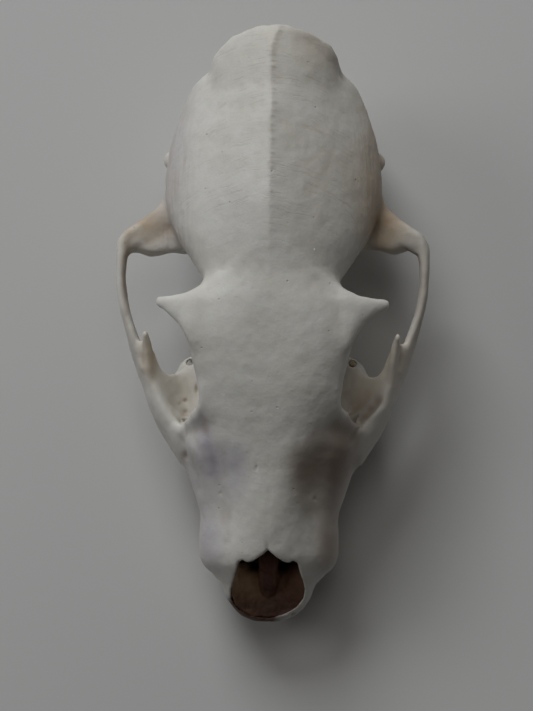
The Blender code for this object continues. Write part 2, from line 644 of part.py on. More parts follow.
def tooth_forms(bm, x, back, turn, lobes, root, side):
    """The lobes of a crown, which hang from the neck, and the root above it."""
    neck = GUM - 0.5
    for along, across, length, width, depth, ahead, outward in lobes:
        add_sweep(bm, [
            (
                *on_row(x, back, turn, along + ahead * lean, across + outward * lean),
                neck - depth * down, width * share, length * share, turn,
            )
            for down, share, lean in (
                (0.0, 0.96, 0.0), (0.18, 1.0, 0.05), (0.5, 0.82, 0.4), (0.82, 0.46, 0.8), (1.0, 0.18, 1.0),
            )
        ], side, spacing=0.5, sides=14)
    if len(lobes) > 1:
        front = min(lobe[0] - lobe[2] for lobe in lobes)
        rear = max(lobe[0] + lobe[2] for lobe in lobes)
        centre = on_row(x, back, turn, (front + rear) / 2, sum(lobe[1] for lobe in lobes) / len(lobes))
        add_sweep(bm, [
            (*centre, neck, root[1] * 1.25, (rear - front) * 0.42, turn),
            (*centre, neck - 1.0, root[1] * 1.1, (rear - front) * 0.44, turn),
        ], side, spacing=0.6, sides=16)
    add_root(bm, x, back, turn, root, side)


def lining_forms(bm):
    """Dried cartilage in the nose: the lining of its floor and sides and the upright septum."""
    rings = []
    for back, half, low, thick, rise in flowing([
        (1.7, 2.3, 11.3, 0.5, 0.3),
        (2.6, 4.1, 11.25, 0.6, 0.7),
        (3.9, 5.3, 11.25, 0.6, 1.5),
        (5.4, 5.6, 11.25, 0.6, 2.6),
        (6.9, 5.25, 11.25, 0.7, 4.0),
        (8.4, 4.75, 11.25, 0.7, 4.8),
        (10.0, 4.3, 11.25, 0.7, 4.6),
        (12.5, 4.1, 11.25, 0.7, 4.0),
    ], 0.7):
        shares = np.linspace(-1.0, 1.0, 13)
        under = [place(half * share, back, low + rise * 0.75 * abs(share) ** 3) for share in shares]
        top = low + thick
        over = [place(half * share * 0.98, back, top + rise * abs(share) ** 1.8) for share in shares[::-1]]
        rings.append(under + over)
    add_loft(bm, rings)
    add_body(bm, [
        (4.6, 0.7, 11.6, 12.2, 12.8, 2.2, 2.2),
        (6.0, 1.1, 11.6, 13.0, 14.2, 2.2, 2.2),
        (8.0, 1.6, 11.6, 13.6, 15.8, 2.2, 2.2),
        (10.2, 1.8, 11.6, 14.2, 17.4, 2.2, 2.2),
        (14.0, 1.6, 11.8, 14.4, 18.4, 2.2, 2.2),
    ], sides=16, spacing=0.9)


def press(points, normals, centre, radii, depth):
    """Moves the surface inwards round a place and its mirror image, most at the place itself."""
    for side in MIRRORED if centre[0] else (1,):
        spot = np.array([side * centre[0], centre[1] - LENGTH / 2, centre[2]])
        away = (points - spot) / np.array(radii)
        points -= normals * (depth * np.exp(-(away**2).sum(axis=1)))[:, None]


def model_surface(cranium):
    """Hollows, swellings and the crest, as small shifts of the fused surface."""
    mesh = cranium.data
    count = len(mesh.vertices)
    points = np.empty(count * 3)
    normals = np.empty(count * 3)
    mesh.vertices.foreach_get("co", points)
    mesh.vertices.foreach_get("normal", normals)
    points = points.reshape(-1, 3) / MM
    normals = normals.reshape(-1, 3)
    for centre, radii, depth in (
        ((7.4, 25.0, 25.0), (3.2, 7.5, 5.0), 1.3),
        ((7.2, 15.5, 21.5), (2.2, 5.0, 4.0), 0.5),
        ((0.0, 45.0, 33.5), (4.0, 6.0, 5.0), 0.25),
        ((12.6, 25.0, 19.5), (2.0, 5.0, 3.0), 0.6),
        ((4.0, 30.0, 8.5), (5.0, 14.0, 2.5), 0.9),
        ((3.0, 15.0, 8.5), (3.6, 6.0, 2.5), 0.6),
        ((18.0, 63.0, 20.5), (3.0, 2.2, 2.0), 0.5),
        ((10.4, 13.0, 15.0), (2.5, 5.0, 5.0), -0.55),
        ((0.0, 17.0, 24.5), (3.6, 9.0, 4.0), -0.5),
        ((11.5, 51.0, 31.5), (4.0, 1.4, 2.5), -0.25),
    ):
        press(points, normals, centre, radii, depth)
    back = points[:, 1] + LENGTH / 2
    above = (points[:, 2] > 24.0) & (normals[:, 2] > 0.2)
    rise = np.clip((back - 54.0) / 12.0, 0, 1) * np.clip((96.5 - back) / 3.0, 0, 1)
    points[:, 2] += above * rise * CREST * np.exp(-((points[:, 0] / 0.75) ** 2))
    mesh.vertices.foreach_set("co", (points * MM).ravel())
    mesh.update()


def shaped(name, home, forms, *details):
    """A mesh object made of the given closed forms."""
    mesh = bpy.data.meshes.new(name)
    bm = bmesh.new()
    forms(bm, *details)
    bm.to_mesh(mesh)
    bm.free()
    made = bpy.data.objects.new(name, mesh)
    home.objects.link(made)
    return made


def settle(made):
    """Makes the evaluated mesh the object's own."""
    bpy.context.view_layer.update()
    mesh = bpy.data.meshes.new_from_object(made.evaluated_get(bpy.context.evaluated_depsgraph_get()))
    made.modifiers.clear()
    made.data = mesh


def keep_outer_skin(made):
    """Removes every island of the mesh but the largest, such as the skin of an enclosed hollow."""
    bm = bmesh.new()
    bm.from_mesh(made.data)
    left = set(bm.verts)
    islands = []
    while left:
        island = [left.pop()]
        for vert in island:
            for edge in vert.link_edges:
                other = edge.other_vert(vert)
                if other in left:
                    left.remove(other)
                    island.append(other)
        islands.append(island)
    islands.sort(key=len)
    for island in islands[:-1]:
        bmesh.ops.delete(bm, geom=island, context="VERTS")
    bm.to_mesh(made.data)
    bm.free()


def fuse(made, voxel, rounds):
    """Grows overlapping forms together on a fine grid and rubs the result smooth."""
    remesh = made.modifiers.new("grow_together", "REMESH")
    remesh.mode = "VOXEL"
    remesh.voxel_size = voxel * MM
    smooth = made.modifiers.new("rub", "SMOOTH")
    smooth.factor = 0.5
    smooth.iterations = rounds
    settle(made)
    keep_outer_skin(made)


def thin_out(made, triangles):
    """Leaves about the given number of triangles."""
    made.modifiers.new("triangles", "TRIANGULATE")
    settle(made)
    fewer = made.modifiers.new("fewer_faces", "DECIMATE")
    fewer.ratio = triangles / len(made.data.polygons)
    settle(made)


def carve(made, home, cutter_forms):
    """Cuts the given closed forms out of the object."""
    cutter = shaped("cutter", home, cutter_forms)
    cut = made.modifiers.new("cut", "BOOLEAN")
    cut.operation = "DIFFERENCE"
    cut.solver = "EXACT"
    cut.object = cutter
    settle(made)
    bpy.data.objects.remove(cutter)


def finish(made, look):
    made.data.materials.clear()
    made.data.materials.append(material(*look))


def build():
    clear_scene()
    skull = collection("mongoose_skull")
    cranium = shaped("cranium", skull, cranium_forms)
    fuse(cranium, FUSE_VOXEL, 5)
    model_surface(cranium)
    thin_out(cranium, CRANIUM_TRIANGLES)
    for cutter_forms in (
        nose_cutter, nasal_passage_cutter, openings_cutter, socket_cutter, shelf_hole_cutter, stand_cutter,
    ):
        carve(cranium, skull, cutter_forms)
    finish(cranium, BONE)

    lining = shaped("nasal_septum", skull, lining_forms)
    fuse(lining, TOOTH_VOXEL, 2)
    thin_out(lining, LINING_TRIANGLES)
    finish(lining, CARTILAGE)

    for name, *details in TEETH:
        for side, suffix in zip(MIRRORED, ("left", "right")):
            if f"{name}_{suffix}" in LOST_TEETH:
                continue
            tooth = shaped(f"{name}_{suffix}", skull, tooth_forms, *details, side)
            fuse(tooth, TOOTH_VOXEL, 1)
            thin_out(tooth, TOOTH_TRIANGLES)
            carve(tooth, skull, stand_cutter)
            finish(tooth, ENAMEL)


build()
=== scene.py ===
import math

import bmesh
import bpy
import numpy as np
from mathutils import Matrix, Vector


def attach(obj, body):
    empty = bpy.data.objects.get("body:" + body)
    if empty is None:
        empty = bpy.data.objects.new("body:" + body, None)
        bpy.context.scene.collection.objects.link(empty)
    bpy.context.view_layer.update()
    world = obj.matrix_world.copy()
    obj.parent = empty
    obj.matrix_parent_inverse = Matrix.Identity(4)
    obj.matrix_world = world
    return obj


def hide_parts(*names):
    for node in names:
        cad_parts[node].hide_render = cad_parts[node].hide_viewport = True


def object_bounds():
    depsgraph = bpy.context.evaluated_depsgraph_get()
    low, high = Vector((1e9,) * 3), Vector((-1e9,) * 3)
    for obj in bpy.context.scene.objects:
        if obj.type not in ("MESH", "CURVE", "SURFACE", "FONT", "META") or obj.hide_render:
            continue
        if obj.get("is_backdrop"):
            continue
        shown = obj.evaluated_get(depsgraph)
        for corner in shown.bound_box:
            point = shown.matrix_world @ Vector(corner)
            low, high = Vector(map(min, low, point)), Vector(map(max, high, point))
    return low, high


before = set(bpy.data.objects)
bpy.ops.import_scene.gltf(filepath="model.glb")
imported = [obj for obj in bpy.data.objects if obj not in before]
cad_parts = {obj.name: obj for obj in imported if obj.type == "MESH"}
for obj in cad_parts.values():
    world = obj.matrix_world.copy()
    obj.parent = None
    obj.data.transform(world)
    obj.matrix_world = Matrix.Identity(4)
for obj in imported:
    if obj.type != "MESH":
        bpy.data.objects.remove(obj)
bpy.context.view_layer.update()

# Braincase. The long oval case of thin bone, widest behind the arches and roof-shaped towards the crest.
# It is drawn ring by ring in millimetres, as is every region of the cranium, and all of them are fused
# further down. A place is x (+ is the animal's left), back (from the snout tip) and z (above the table).
SKULL_LENGTH = 95
BOTH_SIDES = (1, -1)
bone = bmesh.new()


def place(x, back, z):
    return Vector((x, back - SKULL_LENGTH / 2, z))


def flow(rows, spacing, travel=None):
    """Rows on smooth curves through the given ones, spaced by their first column or by the travel."""
    rows = np.array(rows, float)
    travel = rows[:, 0] if travel is None else travel
    steps = np.diff(travel)
    slopes = np.diff(rows, axis=0) / steps[:, None]
    slopes = np.vstack([slopes[:1], slopes, slopes[-1:]])
    weights = np.concatenate([steps[:1], steps, steps[-1:]])[:, None]
    tangents = (slopes[:-1] * weights[1:] + slopes[1:] * weights[:-1]) / (weights[1:] + weights[:-1])
    at = np.linspace(travel[0], travel[-1], max(2, round((travel[-1] - travel[0]) / spacing) + 1))
    span = np.clip(np.searchsorted(travel, at, side="right") - 1, 0, len(steps) - 1)
    run = steps[span][:, None]
    t = (at - travel[span])[:, None] / run
    near = (2 * t**3 - 3 * t**2 + 1) * rows[span] + (t**3 - 2 * t**2 + t) * run * tangents[span]
    far = (3 * t**2 - 2 * t**3) * rows[span + 1] + (t**3 - t**2) * run * tangents[span + 1]
    return near + far


def rounded(angle, power):
    """Across and up on a superellipse: power 2 is an ellipse, more is boxier, less is more peaked."""
    return [math.copysign(abs(part) ** (2 / power), part) for part in (math.cos(angle), math.sin(angle))]


def skin_over(bm, stations, sides, point_at):
    """Bridges one circle per station, each shaped by point_at, and closes both ends."""
    rings = []
    for station in stations:
        loop = bmesh.ops.create_circle(bm, segments=sides, radius=1.0)["verts"]
        for number, vert in enumerate(loop):
            vert.co = point_at(station, 2 * math.pi * number / sides)
        rings.append(list(dict.fromkeys(edge for vert in loop for edge in vert.link_edges)))
    for near, far in zip(rings, rings[1:]):
        bmesh.ops.bridge_loops(bm, edges=near + far)
    for end in (rings[0], rings[-1]):
        bmesh.ops.contextual_create(bm, geom=end)


def draw_case(bm, rows, spacing=0.9, sides=64):
    """A form along the skull: back, half width, lowest, widest and highest z, upper and lower power."""
    def point_at(row, angle):
        back, half, low, widest, high, upper, lower = row
        above = math.sin(angle) >= 0
        across, up = rounded(angle, upper if above else lower)
        return place(half * across, back, widest + up * (high - widest if above else widest - low))

    skin_over(bm, flow(rows, spacing), sides, point_at)


draw_case(bone, [
    (49, 8.7, 17.4, 26.5, 32.4, 2.2, 2.2),
    (52, 10.1, 17, 26, 33.3, 2.2, 2.2),
    (54.6, 10.9, 16.4, 25.4, 33.9, 2.1, 2.2),
    (58, 12.96, 14.6, 24, 34.5, 1.9, 2.3),
    (62, 15.5, 12.8, 22.8, 35.1, 1.65, 2.5),
    (66, 17.04, 11.8, 21.9, 35.3, 1.54, 2.7),
    (70, 17.75, 11.4, 21.3, 35.2, 1.5, 2.9),
    (74, 17.5, 11.3, 21, 34.9, 1.5, 2.9),
    (78, 16.86, 11.2, 20.8, 34.5, 1.5, 2.8),
    (82, 15.7, 11.2, 20.6, 33.9, 1.52, 2.7),
    (85.5, 14.4, 11.4, 20.4, 33, 1.6, 2.5),
    (88.2, 12.8, 12, 20.2, 31.2, 1.75, 2.3),
    (90.2, 10.1, 13.4, 20, 27.6, 1.95, 2.2),
    (91.4, 6.7, 15.4, 19.6, 23.2, 2.2, 2.2),
])

# Nuchal crest. The ledge of bone that overhangs the back of the skull, where the neck's muscles pulled.
# Its thin rim runs round the top and down each side to the ear region.
OVAL = 2.2
UPRIGHT = 0


def travelled(spots):
    """How far along its path each spot is."""
    return np.concatenate([[0], np.cumsum(np.linalg.norm(np.diff(spots, axis=0), axis=1))])


def draw_tube(bm, rows, side=1, spacing=0.7, sides=28, power=OVAL):
    """A form along a path: x, back and z, half sizes across and up, and any lean in degrees."""
    rows = np.array([(*row, UPRIGHT)[:6] for row in rows], float)
    rows = flow(rows, spacing, travelled(rows[:, :3]))
    path = [Vector(row[:3]) for row in rows]
    turned = []
    for number, lean in enumerate(rows[:, 5]):
        ahead = (path[min(number + 1, len(path) - 1)] - path[max(number - 1, 0)]).normalized()
        right = ahead.cross(Vector((0, 0, 1)))
        if right.length < 0.4:
            right = Vector((1, 0, 0)) - ahead * ahead.x
        right.normalize()
        turn = Matrix.Rotation(math.radians(lean), 3, ahead)
        turned.append((turn @ right, turn @ right.cross(ahead).normalized()))

    def point_at(number, angle):
        across, up = rounded(angle, power)
        right, above = turned[number]
        spot = path[number] + right * (across * rows[number][3]) + above * (up * rows[number][4])
        return place(side * spot.x, spot.y, spot.z)

    skin_over(bm, range(len(rows)), sides, point_at)


draw_case(bone, [
    (78, 6, 22, 27, 32.4, 1.8, 2),
    (83, 8.8, 20, 27, 32.9, 1.7, 2),
    (87, 10.2, 19.4, 26.6, 32.9, 1.65, 2),
    (89.6, 10.4, 20.6, 26.6, 32.7, 1.62, 2.1),
    (91.2, 9.9, 22.8, 27.2, 32.4, 1.65, 2.2),
    (92.4, 8.7, 25, 28.2, 32.1, 1.7, 2.2),
    (93.5, 6.9, 27.4, 29.2, 31.8, 1.9, 2.2),
    (94.4, 4.9, 29.2, 30.4, 31.6, 2, 2.2),
    (95.2, 2.2, 30.5, 31, 31.3, 2.1, 2.1),
], spacing=0.6)
for side in BOTH_SIDES:
    wider = 0.25 + 0.25 * side
    draw_tube(bone, [
        (0, 94.4, 31, 0.65, 0.7),
        (3, 94.15, 30.7, 0.65, 0.7),
        (6.4 + wider * 0.5, 93.15, 29.6, 0.65, 0.7),
        (8.7 + wider, 91.6, 27.8, 0.65, 0.7),
        (9.6 + wider, 89.8, 25, 0.7, 0.8),
        (11, 87.4, 21, 0.8, 0.9),
        (13.2, 84, 16.8, 0.9, 1),
        (15.4, 80.2, 13.6, 1.2, 1.2),
    ], side)

# Occiput. The back wall under the ledge with the foramen magnum's rim, the two condyles that the neck
# turns on, and on each side the cusp that stands behind the ear bulla.


def draw_egg(bm, x, back, z, sizes, yaw=0, pitch=0, side=1):
    """An egg-shaped form with the given half sizes, turned about Z by yaw and about X by pitch."""
    turn = Matrix.Rotation(math.radians(side * yaw), 4, "Z")
    turn = turn @ Matrix.Rotation(math.radians(pitch), 4, "X")
    bmesh.ops.create_uvsphere(
        bm, u_segments=32, v_segments=20, radius=1.0,
        matrix=Matrix.Translation(place(side * x, back, z)) @ turn @ Matrix.Diagonal((*sizes, 1)),
    )


draw_case(bone, [
    (83, 13.8, 11.6, 17, 26.5, 2.2, 2.6),
    (87.6, 11.8, 11.6, 17, 26.5, 2.1, 2.6),
    (89.8, 9.4, 12, 17, 25.8, 2.1, 2.4),
    (91.2, 6.8, 12.8, 17, 24.4, 2.1, 2.3),
    (92.2, 4, 14.8, 18.5, 22.6, 2.1, 2.3),
])
for side in BOTH_SIDES:
    draw_egg(bone, 6.3, 90.6, 14.8, (2.7, 3, 4.2), yaw=24, pitch=12, side=side)
    draw_egg(bone, 3.4, 88.8, 12.1, (2.8, 3, 1.2), yaw=10, side=side)
    draw_tube(bone, [
        (12.6, 84, 16.5, 2.8, 2),
        (12.2, 84.9, 12, 2.4, 1.7),
        (11.6, 85.4, 7.6, 1.8, 1.25),
        (11, 85.4, 4, 1, 0.8),
    ], side)

# Base of the skull. A flat bar of bone under the braincase, between the bullae, and in front of it the
# two thin pterygoid blades that stand behind the palate, each ending in a hook.
draw_case(bone, [
    (46, 5, 13.2, 15.5, 19, 2.4, 4),
    (56, 5.2, 12.8, 15.5, 19, 2.4, 4),
    (66, 5.6, 12, 15, 19, 2.4, 4),
    (78, 6.6, 11, 14, 18, 2.4, 4),
    (89.4, 6, 11.4, 13.5, 17, 2.4, 4),
])
for side in BOTH_SIDES:
    draw_tube(bone, [
        (5.9, 46.5, 12.4, 0.9, 2.4),
        (5.7, 51, 11.9, 0.8, 2.7),
        (5.2, 56, 11.2, 0.7, 3),
        (5.1, 60, 10.2, 0.7, 2.7),
        (5.3, 62.6, 8.6, 0.7, 1.6),
        (5.5, 64.4, 7.4, 0.65, 0.85),
    ], side, power=2.4)

# Ear bullae. On each side a small front chamber and a swollen rear one, thin bubbles of bone, with the
# ear's opening between them on a short tube, a small ledge over it and the mastoid bump behind it.
for side in BOTH_SIDES:
    draw_egg(bone, 9.6, 78.2, 6, (5.2, 7, 6.25), yaw=12, side=side)
    draw_egg(bone, 10.7, 70.7, 8.6, (4.7, 4, 4.5), yaw=8, side=side)
    draw_tube(bone, [
        (9.5, 73.4, 12.4, 3.4, 3.2),
        (13.5, 74, 13.2, 3.1, 3),
        (16.4, 74.6, 13.8, 2.6, 2.6),
        (17.6, 74.9, 14, 2.2, 2.3),
    ], side)
    draw_egg(bone, 16, 75.8, 16.8, (2.45, 2, 1.5), side=side)
    draw_egg(bone, 14, 79.4, 13.4, (2.1, 3.2, 3.6), yaw=-18, side=side)

# Face. The blunt muzzle over the nose, the cheeks, and the domed roof between the orbits that runs on
# into the braincase, with the thin wall between the two orbits under it.
draw_case(bone, [
    (0, 2.24, 9.4, 10.6, 11.4, 2.1, 2.2),
    (0.9, 4.42, 8.7, 10.8, 12.4, 2.2, 2.8),
    (2.2, 5.71, 8.4, 11, 13.6, 2.2, 3.6),
    (3.6, 6.78, 8.4, 11.4, 15.2, 2.2, 3.8),
    (5, 7.34, 8.4, 11.8, 16.9, 2.2, 4),
    (6.3, 7.73, 8.4, 12.2, 18.4, 2.2, 4),
    (7.5, 8.74, 8.4, 12.5, 19.7, 2.15, 4),
    (8.8, 10.3, 8.4, 12.8, 21, 2.1, 4),
    (10.4, 11.03, 8.4, 13, 22.2, 2.05, 4),
    (13, 11.2, 8.4, 13.2, 23.2, 2, 4),
    (18, 11.37, 8.4, 13.4, 24.8, 1.95, 4),
    (20.4, 12.2, 8.4, 13.5, 25.5, 2, 4),
    (23, 13.1, 8.3, 13.7, 26.3, 2.12, 4),
    (26.4, 14.22, 8.3, 14.2, 27.4, 2.4, 4),
    (29.4, 14.34, 8.3, 14.6, 28.4, 2.75, 4),
    (31.6, 13.66, 8.3, 14.8, 28.6, 2.6, 4),
])
draw_case(bone, [
    (22, 6.35, 18, 22, 25.4, 2.2, 2.2),
    (26, 8.89, 18.6, 22.8, 27.2, 2.2, 2.2),
    (30, 10.54, 19.4, 24.2, 28.7, 2.25, 2.2),
    (34, 11.18, 20.4, 25.8, 30.2, 2.3, 2.2),
    (38, 11.68, 21, 27.2, 31.5, 2.35, 2.2),
    (42, 12.51, 21.2, 28.6, 32.5, 2.4, 2.2),
    (46, 13.21, 21.2, 29.4, 33.3, 2.4, 2.2),
    (50, 12.7, 20.6, 29.2, 33.8, 2.3, 2.2),
    (53, 11.43, 19.6, 28.2, 34, 2.2, 2.2),
    (56.5, 9.91, 18.6, 26.6, 34, 2.1, 2.2),
    (60, 7.87, 18, 25.8, 33.6, 2, 2.2),
])
draw_case(bone, [
    (26, 11.4, 9.6, 17, 26.6, 2.4, 3),
    (31, 10.4, 9.6, 18, 28, 2.4, 3),
    (35, 9, 9.6, 18.5, 29, 2.4, 3),
    (40, 7.8, 9.8, 18.5, 30, 2.4, 3),
    (46, 7.4, 10.4, 18.5, 30, 2.4, 3),
    (52, 8, 12.8, 19, 30, 2.3, 2.8),
    (58, 9.6, 13.4, 20, 30, 2.2, 2.6),
])

# Palate. The roof of the mouth and the shelf over the cheek teeth, which is the floor of each orbit, with
# the raised edges that the teeth stand in.
draw_case(bone, [
    (25, 11.8, 8.4, 11, 16, 2.6, 4.5),
    (29, 14.6, 8.3, 11.2, 15.6, 3, 4.5),
    (33, 16.4, 8.3, 11.3, 14.8, 3.4, 4.5),
    (37, 17, 8.3, 11.2, 14, 3.6, 4.5),
    (39.6, 17, 8.3, 11, 13.2, 3.6, 4.2),
    (41.4, 15.8, 8.4, 10.8, 12.8, 3.4, 3.8),
    (43, 14.9, 8.4, 10.6, 12.4, 3, 3.4),
    (44, 13.2, 8.6, 10.5, 12.2, 2.7, 3),
    (44.6, 11, 8.9, 10.4, 12.1, 2.4, 3),
    (46.6, 8.4, 9.1, 10.4, 12.4, 2.4, 3),
    (50.8, 7, 9.3, 10.4, 12.8, 2.4, 3),
    (52, 5.6, 9.8, 10.4, 12.6, 2.4, 3),
], spacing=0.6)
for side in BOTH_SIDES:
    draw_tube(bone, [
        (6, 5.8, 9.9, 1, 1.5),
        (8.1, 9.6, 10, 1.95, 1.65),
        (8.6, 14.6, 9.9, 1.5, 1.5),
        (9.2, 18.6, 9.9, 1.5, 1.55),
        (10.5, 24, 9.9, 1.8, 1.55),
        (12.2, 29.5, 9.9, 2.5, 1.55),
        (13.2, 33.5, 9.9, 2.7, 1.55),
        (12.9, 38.3, 9.9, 3.3, 1.55),
        (12.7, 41.8, 9.9, 2.3, 1.5),
        (12.6, 43.4, 10, 1.4, 1.3),
    ], side, power=3)

# Zygomatic arches. The slim bow on each side from the cheek back to the braincase, with the short blade
# on its inner side that points up at the brow.
for side in BOTH_SIDES:
    draw_tube(bone, [
        (10.6, 23.6, 14.6, 1.6, 3.2, -8),
        (13, 26.4, 14.9, 1.7, 3.9, -12),
        (14.8, 29.2, 15.1, 1.7, 4, -14),
        (16.7, 32, 15.3, 1.6, 4, -14),
        (18.5, 35.2, 15.5, 1.4, 3.8, -12),
        (20, 39, 15.8, 1.25, 3.5, -12),
        (21.3, 42, 16.1, 1.1, 3.1, -12),
        (22.45, 45, 16.4, 0.95, 2.6, -10),
        (23.3, 47.6, 16.8, 0.85, 2.2, -8),
        (24.15, 50.6, 17.3, 0.8, 2, -2),
        (24.7, 53.6, 17.8, 0.78, 1.9),
        (24.88, 56.4, 18.2, 0.78, 1.85),
        (24.8, 59.2, 18.6, 0.9, 1.85),
        (24.35, 61.4, 18.8, 1.3, 1.8),
        (22.8, 62.9, 18.9, 1.75, 1.8),
    ], side, power=2.3)
    draw_tube(bone, [
        (19.4, 38, 17.4, 0.8, 1.6),
        (19.8, 41, 18.2, 0.95, 1.9),
        (20, 43.2, 19.3, 0.82, 1.8),
        (20.25, 45, 20.6, 0.68, 1.3),
        (20.5, 46.6, 22.2, 0.42, 0.6),
    ], side, spacing=0.5, sides=18)
    draw_tube(bone, [
        (20.6, 41, 17.8, 0.95, 1.4),
        (21, 43.4, 18.4, 0.95, 1.1),
        (21.2, 44.7, 19, 0.8, 0.8),
        (21.4, 45.4, 19.2, 0.4, 0.4),
    ], side, spacing=0.4, sides=18)
    draw_egg(bone, 14.4, 27.2, 13.4, (1.05, 1.7, 1.6), yaw=-30, side=side)

# Arch roots. Where an arch leaves the braincase: a full shelf that slopes up to a thin raised rim, and
# under it the cross-wise trough that the lower jaw hinged in, with the ridge that stops it at the back.


def draw_branch(bm, rows, side, sides=30):
    """A form out to one side: x, front edge, rear edge, z, half height and any lean in degrees."""
    def point_at(row, angle):
        x, front, rear, z, up, lean = row
        across, above = rounded(angle, 2.1)
        reach = across * (rear - front) / 2
        tilt = reach * math.tan(math.radians(lean))
        return place(side * x, (front + rear) / 2 + reach, z + above * up + tilt)

    skin_over(bm, flow([(*row, UPRIGHT)[:6] for row in rows], 0.5), sides, point_at)


for side in BOTH_SIDES:
    slant = 0.45 * side
    draw_branch(bone, [
        (12, 60.5 + slant, 71.4, 18.8, 2.6, 14),
        (14.5, 60.4 + slant, 71.1, 18.7, 2.1, 14),
        (16.7, 60.6 + slant, 70, 18.6, 1.85, 14),
        (18.6, 60.1 + slant, 68.1, 18.7, 1.6, 16),
        (20.5, 59.9 + slant, 66.1, 18.7, 1.4, 18),
        (22.2, 60.5 + slant, 65, 18.7, 1.4, 18),
        (23.4, 60.4 + slant, 64.3, 18.7, 1.4, 16),
        (24.4, 59.6 + slant, 63.5, 18.7, 1.35, 13),
        (25.2, 59.1, 62.4, 18.7, 1.3, 8),
    ], side)
    draw_tube(bone, [
        (10, 64.8, 14.8, 3, 2.4),
        (14, 64.6, 15.6, 2.9, 1.9),
        (18, 63.8, 16.6, 2.6, 1.5),
        (21.6, 62.4, 17.6, 1.9, 1.2),
    ], side)
    draw_tube(bone, [
        (12.4, 67.4, 14.6, 1.1, 2.4),
        (15, 67.3, 13.9, 1.05, 2.7),
        (17.4, 66.8, 14.6, 0.95, 2.2),
        (19, 66, 15.8, 0.85, 1.3),
    ], side)
    draw_tube(bone, [
        (15, 75.6, 18.4, 1, 1.1),
        (16.6, 71.4, 18.4, 0.95, 1),
        (17.6, 68.4, 19.4, 0.85, 0.95),
        (19.6, 66, 20.2, 0.75, 0.9),
        (22, 64.2, 20.4, 0.7, 0.85),
        (24.1, 62.4, 20.1, 0.7, 0.85),
        (24.85, 60.2, 19.6, 0.7, 0.85),
    ], side)
    draw_tube(bone, [
        (15, 69.4, 19.2, 2.2, 1.6),
        (17.6, 66.4, 19.6, 2, 1.5),
        (20, 64.2, 19.7, 1.8, 1.3),
        (22.4, 62.4, 19.5, 1.5, 1.2),
        (23.9, 60.8, 18.9, 0.9, 1.1),
    ], side)
    draw_tube(bone, [
        (13.6, 63.6 + slant, 19.2, 2.9, 1.2),
        (17.2, 62.9 + slant, 19.2, 2.4, 1.1),
        (20, 62.2 + slant, 19.2, 2, 1),
        (22.2, 62 + slant, 19.1, 1.2, 0.9),
    ], side)

# Orbits. The pointed brow process behind each orbit, which droops a little, the rim at the orbit's front
# with its full upper corner, and the hollow floor plate that slopes up to the arch.
for side in BOTH_SIDES:
    draw_branch(bone, [
        (10.5, 30, 44.2, 12.3, 1.2),
        (12.5, 30.5, 43.9, 12.4, 1.2),
        (13.6, 31, 43.4, 12.5, 1.1, -3),
        (14.4, 31.4, 42.3, 12.8, 1.1, -6),
        (15.2, 31.6, 41.3, 13.4, 1.15, -7),
        (16, 31.6, 40.75, 14.4, 1.2, -6),
        (16.8, 31.8, 40.7, 15.6, 1.2, -4),
        (17.6, 32.2, 41, 16.8, 1.2, -2),
        (18.4, 33, 42, 17.6, 1.1),
        (19.2, 35, 44, 18, 1),
    ], side)
    shorter = 0.25 - 0.25 * side
    draw_branch(bone, [
        (8, 42.5, 54.5, 30.4, 1.9),
        (11, 42.8, 53.4, 30.5, 1.7),
        (12.6, 43.2, 52.5, 30.4, 1.55),
        (13.6, 45.2, 52, 30.2, 1.35),
        (14.6, 46.9, 51.8, 29.9, 1.15),
        (15.8, 48.2, 51.7, 29.5, 1),
        (17 - shorter * 0.6, 49.1, 51.6, 29, 0.85),
        (18.1 - shorter, 49.75, 51.6, 28.5, 0.75),
        (18.8 - shorter, 50.1, 51.35, 28.2, 0.6),
    ], side)
    draw_tube(bone, [
        (10.4, 38, 28.6, 0.9, 1),
        (10.6, 35, 27, 0.95, 1.1),
        (11.5, 33.2, 24.4, 1.1, 1.2),
        (12.8, 31.8, 21.4, 1.3, 1.3),
        (14.2, 31, 18.8, 1.3, 1.3),
        (15.2, 30.4, 16.8, 1.2, 1.3),
    ], side)
    draw_egg(bone, 11.3, 32.4, 23.9, (1.6, 2.4, 2), yaw=-35, side=side)
    fuller = 0.5 + 0.5 * side
    draw_tube(bone, [
        (12.8, 31.6 + fuller * 0.6, 15.2, 1.2, 1.5 + fuller * 0.5),
        (14.6, 32.2 + fuller * 0.9, 15.2, 1.3, 1.5 + fuller * 0.8),
        (16.6, 33.9 + fuller * 1.2, 15.4, 1.1, 1.5 + fuller),
        (18.4, 36.4 + fuller * 1.2, 15.9, 0.8, 1.3 + fuller),
    ], side, spacing=0.5)

